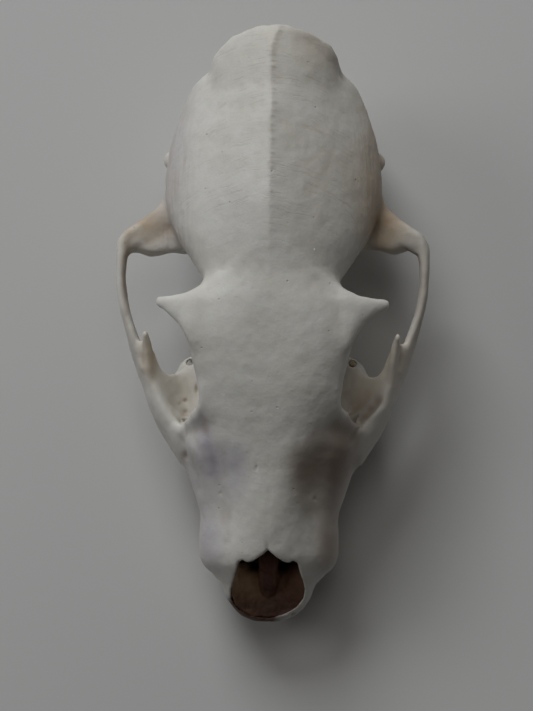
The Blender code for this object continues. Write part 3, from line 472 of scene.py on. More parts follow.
# Teeth. Each is one piece of dentine with an enamel crown, set by its root in a socket of the bone. The
# animal's last right molar was lost long ago, so its socket is empty.
# A tooth is given by its name, x, back and turn, then its cusps and its root. A cusp is along, across,
# half length, half width, depth, and how far its tip leans; a root is half length, half width and height.
GUM = 8.4
TOOTH_GRID = 0.13
LIGHT_DEPTH = 0.0006
SOCKET_ROOM = 0.3
TEETH = (
    ("incisor_1", 0.95, 2.2, 0, ((0, 0, 0.75, 0.65, 2.3, -0.3, 0),), (0.58, 0.45, 1.5)),
    ("incisor_2", 2.85, 2.6, 14, ((0, 0, 0.8, 0.78, 2.6, -0.3, 0),), (0.62, 0.55, 1.5)),
    ("incisor_3", 5, 4.1, 32, ((0, 0, 1.1, 0.92, 3.3, 0.2, 0.1),), (0.9, 0.75, 1.7)),
    ("canine", 8.1, 9.6, 10, ((0, 0, 2.25, 1.65, 8.65, 1.1, 0.5),), (1.95, 1.4, 6.5)),
    ("premolar_1", 8.5, 14.6, 8, ((0, 0, 0.95, 0.7, 1.8, 0.1, 0),), (0.7, 0.55, 2)),
    (
        "premolar_2", 9.1, 18.6, 12,
        ((0, 0, 1.75, 1, 3.6, 0.1, 0), (1.25, 0, 0.7, 0.7, 1.5, 0.1, 0)),
        (1.5, 0.75, 2.6),
    ),
    (
        "premolar_3", 10.5, 24, 17,
        (
            (-0.2, 0, 2.1, 1.35, 4.6, 0.1, 0),
            (1.9, 0.1, 0.85, 0.95, 2.1, 0.1, 0),
            (0.6, -1.1, 0.9, 0.7, 1.5, 0, 0),
        ),
        (2.2, 0.95, 3),
    ),
    (
        "carnassial", 12.9, 31.3, 20,
        (
            (-0.4, 0.5, 2.2, 1.35, 5.3, 0.4, 0),
            (2.7, 0.6, 1.55, 1, 3.2, 0.2, 0.2),
            (-3, 0.6, 0.9, 0.9, 2.2, -0.1, 0),
            (-2.3, -1.9, 1.25, 1.15, 2.5, 0, 0.2),
        ),
        (3.3, 1.15, 3),
    ),
    (
        "molar_1", 12.5, 38.3, 10,
        (
            (-0.9, 2.2, 1.15, 1.15, 2.7, 0, 0),
            (0.95, 1.9, 1.05, 1.05, 2.4, 0, 0),
            (0, 0.2, 1.5, 1.7, 1.3, 0, 0),
            (0.3, -2, 1.35, 1.35, 2.2, 0, 0.2),
        ),
        (1.3, 2.8, 1.9),
    ),
    (
        "molar_2", 12.6, 42.1, 6,
        ((0, 1.1, 0.95, 0.95, 1.9, 0, 0), (0.05, -0.8, 0.9, 1.1, 1.6, 0, 0.1)),
        (0.7, 1.6, 1.9),
    ),
)
LOST_TOOTH = "molar_2_right"
scene = bpy.context.scene


def on_row(x, back, turn, along, across):
    """The x and back of a spot on a tooth, given along the tooth row and across it."""
    angle = math.radians(turn)
    return (
        x + along * math.sin(angle) + across * math.cos(angle),
        back + along * math.cos(angle) - across * math.sin(angle),
    )


def draw_root(bm, x, back, turn, root, side, room=0):
    """A tapering root, or with room round it the socket that it stands in."""
    length, width, height = root
    start = -1.4 if room else -0.6
    draw_tube(bm, [
        (x, back, GUM + up, width * share + room, length * share + room, -turn)
        for up, share in ((start, 1), (height + room, 0.66))
    ], side, spacing=1, sides=24)


def draw_tooth(bm, x, back, turn, cusps, root, side):
    """The cusps of a crown, which hang from the neck, and the root above it."""
    neck = GUM - 0.5
    for along, across, length, width, depth, ahead, outward in cusps:
        draw_tube(bm, [
            (
                *on_row(x, back, turn, along + ahead * lean, across + outward * lean),
                neck - depth * down, width * share, length * share, turn,
            )
            for down, share, lean in (
                (0, 0.96, 0), (0.18, 1, 0.05), (0.5, 0.82, 0.4), (0.82, 0.46, 0.8), (1, 0.18, 1),
            )
        ], side, spacing=0.3, sides=28)
    if len(cusps) > 1:
        front = min(cusp[0] - cusp[2] for cusp in cusps)
        rear = max(cusp[0] + cusp[2] for cusp in cusps)
        centre = on_row(x, back, turn, (front + rear) / 2, sum(cusp[1] for cusp in cusps) / len(cusps))
        draw_tube(bm, [
            (*centre, neck, root[1] * 1.25, (rear - front) * 0.42, turn),
            (*centre, neck - 1, root[1] * 1.1, (rear - front) * 0.44, turn),
        ], side, spacing=0.4, sides=28)
    draw_root(bm, x, back, turn, root, side)


def as_object(name, bm):
    """An object with the drawn forms as its mesh, still in millimetres."""
    bmesh.ops.recalc_face_normals(bm, faces=bm.faces)
    mesh = bpy.data.meshes.new(name)
    bm.to_mesh(mesh)
    bm.free()
    made = bpy.data.objects.new(name, mesh)
    scene.collection.objects.link(made)
    return made


def settle(made):
    """Makes the evaluated mesh the object's own."""
    bpy.context.view_layer.update()
    mesh = bpy.data.meshes.new_from_object(made.evaluated_get(bpy.context.evaluated_depsgraph_get()))
    made.modifiers.clear()
    made.data = mesh


def grow_together(made, grid, rubbing):
    """Joins overlapping forms into one skin on a grid of that size and rubs it smooth."""
    joined = made.modifiers.new("joined", "REMESH")
    joined.mode = "VOXEL"
    joined.voxel_size = grid
    rubbed = made.modifiers.new("rubbed", "SMOOTH")
    rubbed.factor = 0.5
    rubbed.iterations = rubbing
    settle(made)


def carve(made, cutter_bm):
    """Cuts the drawn forms out of the object."""
    cutter = as_object("cutter", cutter_bm)
    cut = made.modifiers.new("cut", "BOOLEAN")
    cut.operation = "DIFFERENCE"
    cut.solver = "MANIFOLD"
    cut.object = cutter
    settle(made)
    bpy.data.objects.remove(cutter)


def stand_flat(made):
    """Cuts the piece flat, a hair above the table."""
    size, clear = 200, 0.02
    table = bmesh.new()
    bmesh.ops.create_cube(table, size=size, matrix=Matrix.Translation((0, 0, clear - size / 2)))
    carve(made, table)


def relief(made, size, height):
    """Wavers the surface by that height, in waves of that size."""
    clouds = bpy.data.textures.new("relief", "CLOUDS")
    clouds.noise_scale = size
    clouds.noise_depth = 2
    wavering = made.modifiers.new("wavering", "DISPLACE")
    wavering.texture = clouds
    wavering.texture_coords = "LOCAL"
    wavering.strength = height * 2
    settle(made)


def set_on_skull(made, node, finish):
    """Brings a piece to metres and puts it, with its finish, in a CAD node's place."""
    made.data.transform(Matrix.Scale(0.001, 4))
    made.data.shade_smooth()
    made.data.materials.clear()
    made.data.materials.append(finish)
    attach(made, "root")
    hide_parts(node)


def add_node(tree, kind, settings=(), **sockets):
    """A shader node with settings, and values or other nodes' outputs in its sockets."""
    node = tree.nodes.new("ShaderNode" + kind)
    for key, value in dict(settings).items():
        setattr(node, key, value)
    for key, value in sockets.items():
        numbered = key[0] == "i" and key[1:].isdigit()
        socket = node.inputs[int(key[1:]) if numbered else key.replace("_", " ")]
        if isinstance(value, bpy.types.NodeSocket):
            tree.links.new(value, socket)
        else:
            socket.default_value = value
    return node


def work_out(tree, operation, first, second=0, third=0):
    return add_node(tree, "Math", {"operation": operation}, i0=first, i1=second, i2=third).outputs[0]


def times(tree, first, second):
    return work_out(tree, "MULTIPLY", first, second)


def rise_from(tree, value, low, high):
    """Nothing at low, everything at high, whichever of them is the greater."""
    return add_node(tree, "MapRange", Value=value, From_Min=low, From_Max=high).outputs[0]


def stretched(tree, spots, scale):
    return add_node(tree, "Mapping", Vector=spots, Scale=scale).outputs[0]


def cloudy(tree, spots, scale, detail=3, rough=0.5):
    made = add_node(tree, "TexNoise", Vector=spots, Scale=scale, Detail=detail, Roughness=rough)
    return made.outputs[0]


def tint(tree, share, below, above):
    """The colour below, covered by the colour above to that share."""
    return add_node(tree, "Mix", {"data_type": "RGBA"}, i0=share, i6=below, i7=above).outputs[2]


def new_finish(name, roughness, specular):
    """A finish with its shader, and its places in millimetres."""
    finish = bpy.data.materials.new(name)
    finish.use_nodes = True
    tree = finish.node_tree
    shader = tree.nodes["Principled BSDF"]
    shader.inputs["Roughness"].default_value = roughness
    shader.inputs["Specular IOR Level"].default_value = specular
    shader.inputs["Subsurface Scale"].default_value = LIGHT_DEPTH
    spots = add_node(tree, "TexCoord").outputs["Object"]
    return finish, tree, shader, stretched(tree, spots, (1000, 1000, 1000))


def emboss(tree, shader, *layers):
    """Lets values stand out of the surface, each by its own height in millimetres."""
    height = 0
    for value, weight in layers:
        height = work_out(tree, "MULTIPLY_ADD", value, weight, height)
    bump = add_node(tree, "Bump", Height=height, Distance=0.001)
    tree.links.new(bump.outputs[0], shader.inputs["Normal"])


enamel, tree, shader, spots = new_finish("tooth_enamel", 0.3, 0.5)
height_on_skull = add_node(tree, "SeparateXYZ", Vector=spots).outputs[2]
waver = cloudy(tree, spots, 0.7)
neck_line = work_out(tree, "MULTIPLY_ADD", waver, 2.4, height_on_skull)
colour = tint(tree, rise_from(tree, waver, 0.4, 0.65), (0.8, 0.75, 0.63, 1), (0.72, 0.65, 0.51, 1))
root_share = rise_from(tree, neck_line, 6.4, 8.8)
colour = tint(tree, root_share, colour, (0.56, 0.44, 0.28, 1))
cracks = cloudy(tree, stretched(tree, spots, (3.2, 3.2, 0.35)), 1, 4, 0.6)
crack_share = rise_from(tree, cracks, 0.64, 0.72)
colour = tint(tree, times(tree, crack_share, 0.35), colour, (0.4, 0.29, 0.17, 1))
tree.links.new(colour, shader.inputs["Base Color"])
tree.links.new(work_out(tree, "MULTIPLY_ADD", root_share, 0.3, 0.24), shader.inputs["Roughness"])
shader.inputs["Subsurface Weight"].default_value = 0.12
shader.inputs["Subsurface Radius"].default_value = (1, 0.7, 0.45)
fine_grain = cloudy(tree, spots, 9)
emboss(tree, shader, (cloudy(tree, spots, 1.6), 0.05), (crack_share, -0.02), (fine_grain, 0.006))

for name, *form in TEETH:
    for side, suffix in zip(BOTH_SIDES, ("left", "right")):
        if f"{name}_{suffix}" == LOST_TOOTH:
            continue
        tooth_bm = bmesh.new()
        draw_tooth(tooth_bm, *form, side)
        if name == "molar_2":
            # its broken root shows from above, in a hole of the shelf
            draw_tube(tooth_bm, [(13.35, 42.55, 9, 0.42, 0.42), (13.4, 42.92, 12.2, 0.45, 0.45)])
        tooth = as_object(f"{name}_{suffix}_tooth", tooth_bm)
        grow_together(tooth, TOOTH_GRID, 3)
        if name == "canine":
            stand_flat(tooth)
        set_on_skull(tooth, f"{name}_{suffix}", enamel)

# Nose lining. Dried cartilage that is left in the nose opening: a thin brown lining of its floor and
# sides, and in the middle the stump of the septum, frayed at its top. Where the passages beside the
# stump run back under the nasals, the finish paints them near black as shade.
LINING_GRID = 0.16


def draw_lining(bm, rows):
    """A curled sheet: back, half width, lowest z, thickness and how far its edges rise."""
    def point_at(row, angle):
        back, half, low, thick, rise = row
        share = math.cos(angle)
        if math.sin(angle) < 0:
            return place(half * share, back, low + rise * 0.75 * abs(share) ** 3)
        return place(half * share * 0.98, back, low + thick + rise * abs(share) ** 1.8)

    skin_over(bm, flow(rows, 0.3), 48, point_at)


lining_bm = bmesh.new()
draw_lining(lining_bm, [
    (0.8, 2.5, 11.05, 0.5, 0.3),
    (2.2, 4.9, 11.1, 0.7, 0.7),
    (3.9, 5.9, 11.1, 0.8, 1.5),
    (5.4, 6.2, 11.1, 0.8, 2.7),
    (6.9, 5.9, 11.1, 0.8, 4.1),
    (8.4, 5.5, 11, 0.7, 4.9),
    (9.6, 5, 10.9, 0.5, 4.6),
])
draw_case(lining_bm, [
    (3.9, 0.8, 11.2, 11.6, 11.95, 2, 2),
    (4.9, 1.2, 11.3, 12.2, 12.9, 2.1, 2.2),
    (6, 1.5, 11.4, 12.9, 14.4, 2.2, 2.3),
    (7.6, 1.65, 11.4, 13.6, 16.2, 2.2, 2.4),
    (10.2, 1.75, 11.4, 14.4, 18, 2.2, 2.4),
    (14, 1.6, 11.6, 14.6, 18.8, 2.2, 2.2),
], spacing=0.4, sides=32)
lining = as_object("nose_lining", lining_bm)
grow_together(lining, LINING_GRID, 3)
relief(lining, 1.1, 0.16)

cartilage, tree, shader, spots = new_finish("dried_cartilage", 0.6, 0.35)
sideways, along, upward = add_node(tree, "SeparateXYZ", Vector=spots).outputs
fibres = cloudy(tree, stretched(tree, spots, (1.3, 0.45, 0.7)), 1, 3, 0.5)
blotches = cloudy(tree, spots, 0.42, 3)
from_middle = work_out(tree, "ABSOLUTE", sideways)
left_side = rise_from(tree, work_out(tree, "MULTIPLY_ADD", blotches, 4, sideways), 3.4, -0.6)
colour = tint(tree, left_side, (0.18, 0.088, 0.05, 1), (0.55, 0.35, 0.21, 1))
fibre_share = times(tree, rise_from(tree, fibres, 0.45, 0.7), 0.4)
colour = tint(tree, fibre_share, colour, (0.12, 0.06, 0.036, 1))
stump_edge = rise_from(tree, from_middle, 0.7, 1.5)
stump = tint(tree, stump_edge, (0.105, 0.038, 0.021, 1), (0.23, 0.105, 0.062, 1))
wavering = work_out(tree, "MULTIPLY_ADD", blotches, 1.6, from_middle)
in_middle = rise_from(tree, wavering, 3.4, 2)
stump_share = times(tree, in_middle, rise_from(tree, upward, 11.9, 13.2))
colour = tint(tree, stump_share, colour, stump)
front_share = times(tree, rise_from(tree, along, -40.5, -44.5), 0.9)
colour = tint(tree, front_share, colour, (0.062, 0.027, 0.018, 1))
# painted shade: the passages beside the stump, near black where they run back under the nasals
passage_shade = times(tree, rise_from(tree, along, -39.9, -38.7), rise_from(tree, upward, 16.2, 15))
passage_shade = times(tree, passage_shade, rise_from(tree, from_middle, 3.7, 2.7))
colour = tint(tree, passage_shade, colour, (0.006, 0.003, 0.002, 1))
tree.links.new(colour, shader.inputs["Base Color"])
emboss(tree, shader, (fibres, 0.1), (cloudy(tree, spots, 3), 0.04))
set_on_skull(lining, "nasal_septum", cartilage)

# The cranium grown together. Its bones fused long before death, so the regions are joined into one skin
# on a fine grid, hollowed and opened where nerves, air and the brain went, and rubbed round by weather.
JOIN_GRID = 0.3
FINE_GRID = 0.23
CREST_HEIGHT = 0.7


def draw_prism(bm, outline, low, high):
    """An upright form with that outline of x and back."""
    def point_at(z, angle):
        x, back = outline[round(angle / (2 * math.pi) * len(outline)) % len(outline)]
        return place(x, back, z)

    skin_over(bm, (low, high), len(outline), point_at)


def read_surface(mesh):
    """The places of a mesh's points and the ways that they face."""
    surface = []
    for kind in ("co", "normal"):
        numbers = np.empty(len(mesh.vertices) * 3)
        mesh.vertices.foreach_get(kind, numbers)
        surface.append(numbers.reshape(-1, 3))
    return surface


def write_surface(mesh, points):
    mesh.vertices.foreach_set("co", points.ravel())
    mesh.update()


def nearness(points, centre, radii):
    """One at the place itself, falling smoothly to nothing round it."""
    x, back, z = centre
    away = (points - np.array([x, back - SKULL_LENGTH / 2, z])) / np.array(radii)
    return np.exp(-(away**2).sum(axis=1))


def mirrored(centre):
    """The place on both sides, or once if it is in the middle."""
    return [(side * centre[0], *centre[1:]) for side in (BOTH_SIDES if centre[0] else (1,))]


def press(points, normals, centre, radii, depth):
    """Moves the surface inwards round a place, or outwards by a negative depth."""
    points -= normals * (depth * nearness(points, centre, radii))[:, None]


def score(points, normals, path, width, depth, low=17):
    """Cuts a groove along a path of x, back and strength; a negative depth raises a ridge."""
    rows = np.array(path, float)
    rows = flow(rows, 0.2, travelled(rows[:, :2]))
    rows[:, 1] -= SKULL_LENGTH / 2
    near = (points[:, 2] > low) & (normals[:, 2] > 0.05)
    near &= (points[:, :2] > rows[:, :2].min(axis=0) - 3 * width).all(axis=1)
    near &= (points[:, :2] < rows[:, :2].max(axis=0) + 3 * width).all(axis=1)
    gaps = ((points[near, None, :2] - rows[None, :, :2]) ** 2).sum(axis=2)
    closest = gaps.argmin(axis=1)
    share = np.exp(-gaps[np.arange(len(closest)), closest] / width**2) * rows[closest, 2]
    points[near] -= normals[near] * (depth * share)[:, None]


def ease(made, places, rounds):
    """Rubs the skin smoother round the given places, where two forms meet."""
    points, normals = read_surface(made.data)
    share = np.zeros(len(points))
    for centre, radii in places:
        for spot in mirrored(centre):
            share += nearness(points, spot, radii)
    group = made.vertex_groups.new(name="eased")
    tenths = np.round(np.clip(share * 1.4, 0, 1) * 10).astype(int)
    for tenth in range(1, 11):
        group.add(np.flatnonzero(tenths == tenth).tolist(), tenth / 10, "REPLACE")
    eased = made.modifiers.new("eased", "SMOOTH")
    eased.factor = 0.5
    eased.iterations = rounds
    eased.vertex_group = "eased"
    settle(made)
    made.vertex_groups.clear()


cranium = as_object("cranium_bone", bone)
grow_together(cranium, JOIN_GRID, 4)
ease(cranium, (
    ((10.5, 50, 31), (4, 6, 4)),
    ((6, 57, 33), (7, 4.5, 4)),
    ((8.5, 88, 29), (5, 4, 4.5)),
    ((0, 88, 32), (6, 4, 4)),
    ((10.8, 36, 27), (3, 6, 5)),
    ((14.5, 33.5, 17), (3, 4, 3)),
    ((11.6, 30.5, 23), (4, 4.5, 6)),
    ((9, 23, 23), (5, 6, 5)),
    ((8, 8, 16.5), (3.2, 3.4, 3.4)),
    ((11, 29, 22), (5, 6, 6)),
    ((18.2, 38.4, 16.6), (1.5, 3.2, 2.4)),
    ((18.5, 66, 20.6), (5, 3.6, 2.6)),
    ((15.6, 66, 21.2), (2.6, 4.6, 3.4)),
), 80)
ease(cranium, (
    ((13.5, 77, 10.5), (5, 9, 4)),
    ((15.5, 67.5, 14.5), (5, 3.5, 3)),
    ((6, 91.5, 13.5), (5, 4.5, 4)),
), 22)
points, normals = read_surface(cranium.data)
for centre, radii, depth in (
    ((8.2, 25.5, 25), (3.2, 9.5, 5), 1.05),
    ((10.9, 30.5, 24), (2.3, 2.7, 3.5), 0.6),
    ((7.2, 15.5, 21.5), (2.2, 5, 4), 0.5),
    ((12.6, 25, 19.5), (2, 5, 3), 0.6),
    ((4, 30, 8.5), (5, 14, 2.5), 0.9),
    ((3, 15, 8.5), (3.6, 6, 2.5), 0.6),
    ((10.4, 13, 13), (2.5, 5, 4), -0.3),
    ((11.5, 51, 31.5), (4, 1.4, 2.5), -0.25),
    ((0, 45, 33.5), (4, 6, 5), 0.25),
    ((0, 17, 24.5), (3.6, 9, 4), -0.5),
):
    for spot in mirrored(centre):
        press(points, normals, spot, radii, depth)
write_surface(cranium.data, points)

nose_rim = [
    (0, 0.9), (2.8, 1.35), (4.7, 2.5), (5.75, 3.9), (6, 5.4), (5.65, 6.9), (5.15, 8.4), (4.8, 9.7),
    (4.1, 10.2), (3.4, 9.75), (2.7, 9.85), (1.8, 10.35), (0.8, 11.1), (0, 11.8),
]
cutters = bmesh.new()
worn_rim = [
    (-x * (1.05 if back < 5 else 1), back - (0.4 if back < 4.5 else 0)) for x, back in nose_rim
]
draw_prism(cutters, nose_rim[1:] + worn_rim[-2::-1], 10.9, 30)
carve(cranium, cutters)

cutters = bmesh.new()
draw_case(cutters, [
    (3.4, 4.2, 10.6, 12.6, 14, 2.6, 2.6),
    (7, 4.7, 10.2, 13.4, 17, 2.6, 2.6),
    (10, 4.7, 10.2, 14, 19.4, 2.4, 2.6),
    (14, 4.6, 10.2, 14.6, 20.8, 2.3, 2.6),
    (18, 4.2, 10.4, 15, 21.6, 2.2, 2.4),
    (22, 3, 11.4, 15.6, 20.6, 2.2, 2.2),
    (24, 1.4, 13.4, 15.8, 18.6, 2.2, 2.2),
], spacing=1.5, sides=32)
draw_case(cutters, [
    (37, 1.6, 11.4, 12.4, 13.2, 2.2, 2.2),
    (39, 3.2, 10.9, 12.4, 14.4, 2.4, 2.6),
    (46, 3.7, 10.8, 12.4, 14.8, 2.4, 3),
    (53.6, 3.9, 10.9, 12.4, 14.4, 2.4, 3),
], spacing=1.5, sides=32)
draw_case(cutters, [
    (55, 4, 20, 25, 28.6, 2.1, 2.1),
    (58, 8, 18, 24.6, 31, 2, 2.2),
    (64, 13.4, 15.6, 22.6, 32.4, 1.75, 2.4),
    (70, 15.2, 14.4, 21.6, 32.4, 1.65, 2.5),
    (77, 14.2, 14, 20.6, 31.6, 1.65, 2.5),
    (83, 10.8, 13.2, 19.2, 28.8, 1.8, 2.3),
    (86.6, 7.2, 12.4, 17.6, 24, 2.1, 2.2),
    (89, 6, 12, 17, 22.3, 2.2, 2.3),
    (96, 6.2, 11.7, 17, 22.6, 2.2, 2.3),
], spacing=1.5, sides=40)
for side in BOTH_SIDES:
    draw_tube(cutters, [
        (14.9, 21.6, 12.2, 1.1, 1.4),
        (13.7, 26, 13.6, 1, 1.4),
        (13.3, 31, 15.6, 1, 1.4),
        (13.2, 36.6, 17.2, 1, 1.5),
    ], side, sides=20)
    draw_tube(cutters, [(1.9, 8.6, 6.5, 0.55, 1.4), (1.9, 8.6, 12, 0.55, 1.4)], side, sides=16)
    draw_tube(cutters, [
        (20.5, 74.9, 14.2, 1.6, 1.6),
        (17, 74.8, 14, 1.4, 1.4),
        (14.6, 74.6, 13.6, 0.9, 0.9),
    ], side, sides=20)
carve(cranium, cutters)

cutters = bmesh.new()
for _, x, back, turn, _, root in TEETH:
    for side in BOTH_SIDES:
        draw_root(cutters, x, back, turn, root, side, SOCKET_ROOM)
carve(cranium, cutters)
cutters = bmesh.new()
draw_tube(cutters, [(-13.5, 42.4, 9, 0.9, 0.9), (-13.69, 42.77, 14, 0.55, 0.55)], sides=20)
draw_tube(cutters, [(13.4, 42.5, 9, 0.9, 0.9), (13.4, 42.92, 14, 0.6, 0.6)], sides=20)
carve(cranium, cutters)
stand_flat(cranium)
grow_together(cranium, FINE_GRID, 2)
relief(cranium, 2.6, 0.1)
relief(cranium, 0.9, 0.035)

CREST_PATH = (
    (0.8, 94.8), (0.1, 93.2), (-0.5, 91.3), (-0.6, 87.1), (-0.25, 81), (-0.6, 79), (-0.45, 75.5),
    (-0.49, 69.2), (-0.41, 63), (-0.38, 60.7), (-0.2, 56),
)


def beside_crest(points):
    """How far back each point is, how far to the left of the crest, and the crest's ripple there."""
    back = points[:, 1] + SKULL_LENGTH / 2
    centre = np.interp(-back, [-row[1] for row in CREST_PATH], [row[0] for row in CREST_PATH])
    ripple = np.sin(back * 3.1) + np.sin(back * 5.3 + 1.7) + np.sin(back * 8.3 + 0.6)
    return back, points[:, 0] - centre - 0.025 * ripple, ripple


points, normals = read_surface(cranium.data)
back, offset, ripple = beside_crest(points)
above = (points[:, 2] > 22) & (normals[:, 2] > 0.1)
rise = np.clip((back - 54) / 12, 0, 1) * np.clip((96.5 - back) / 3, 0, 1)
roof = np.exp(-np.abs(offset) / 3.2)
ridge = np.exp(-((offset / np.where(offset < 0, 1.3, 0.7)) ** 2)) * (1 + 0.05 * ripple)
points[:, 2] += above * rise * CREST_HEIGHT * (roof + 0.16 * ridge)
around = np.arctan2(points[:, 0], np.abs(back - 84))
scallops = np.sin(around * 17) + 0.6 * np.sin(around * 31 + 2)
on_rim = np.clip((back - 87.5) / 2, 0, 1) * np.clip(normals[:, 1] - 0.45, 0, 0.3)
on_rim *= points[:, 2] > 23
points[:, :2] += normals[:, :2] * (0.3 * scallops * on_rim)[:, None]

for width, depth, low, path in (
    (0.9, 0.16, 17, [(4.6, 93.2, 0.2), (7.2, 91.5, 1), (9.2, 89.8, 1), (10.7, 87.9, 0.6)]),
    (0.8, 0.12, 17, [(-5, 93, 0.2), (-8.2, 91.2, 0.6), (-10.2, 88.8, 0.8)]),
    (0.6, 0.3, 10, [(-14.1, 34, 0.3), (-14.5, 32.5, 1), (-13.7, 30.6, 0.7), (-13.3, 29.4, 0.1)]),
    (0.75, 0.65, 10, [(18.5, 37.1, 0.3), (17.2, 35.7, 1), (15.4, 33.9, 1), (14.2, 33, 0.3)]),
    (0.6, -0.22, 10, [(19.2, 35.9, 0.3), (17.4, 34.3, 1), (15.8, 32.8, 0.6), (14.8, 31.8, 0.2)]),
    (0.35, 0.26, 10, [(14.3, 33.5, 0.3), (15, 32.2, 1), (14, 30.8, 1), (12.9, 28.9, 0.3)]),
    (0.7, 0.15, 15, [(-11.2, 33.4, 0.1), (-10.4, 30.7, 0.8), (-9.4, 26.7, 1), (-8.5, 23.1, 0.3)]),
    (0.55, -0.13, 13, [(-13.4, 30.1, 0.3), (-12.3, 27.7, 1), (-11.1, 25.2, 1), (-10.2, 23.2, 0.3)]),
    (0.3, 0.08, 15, [(-13, 30.9, 0.3), (-11.7, 28.4, 1), (-10.3, 25.4, 0.4)]),
    (0.25, 0.2, 17, [(-0.1, 11.4, 1), (-0.13, 12.6, 0.6), (-0.1, 13.6, 0.1)]),
    (0.3, 0.05, 17, [(-0.1, 14, 0.5), (0.1, 20, 1), (0, 27, 0.3)]),
):
    score(points, normals, path, width, depth, low)
for side in BOTH_SIDES:
    score(points, normals, [
        (side * 17.4, 50.9, 0.4), (side * 12.5, 52.5, 1), (side * 7.4, 54.8, 1), (side * 2.6, 59, 0.5),
    ], 0.9, -0.14)
for spot, radius, depth in (
    ((-1.94, 24.58, 27), (0.16, 0.45, 4), 0.2),
    ((-7.8, 20.67, 24), (0.25, 0.25, 4), 0.2),
    ((7.42, 19.98, 24), (0.3, 0.3, 4), 0.2),
    ((3.06, 17.76, 25), (0.2, 0.2, 4), 0.08),
    ((-14.12, 36.14, 13), (0.3, 0.25, 3), 0.35),
    ((-15.1, 35.46, 13), (0.25, 0.25, 3), 0.2),
    ((-14.08, 34.31, 13), (0.3, 0.3, 3), 0.3),
    ((-15.75, 34.78, 13), (0.25, 0.25, 3), 0.15),
    ((-12.44, 38.07, 13), (0.25, 0.8, 3), 0.45),
    ((-13.8, 26.9, 16), (0.5, 0.7, 3), 0.5),
):
    press(points, normals, spot, radius, depth)
write_surface(cranium.data, points)

CRANIUM_TRIANGLES = 190000
cranium.modifiers.new("triangles", "TRIANGULATE")
settle(cranium)
thinned = cranium.modifiers.new("thinned", "DECIMATE")
thinned.ratio = min(1, CRANIUM_TRIANGLES / len(cranium.data.polygons))
rubbed = cranium.modifiers.new("rubbed", "SMOOTH")
rubbed.factor = 0.3
rubbed.iterations = 1
settle(cranium)
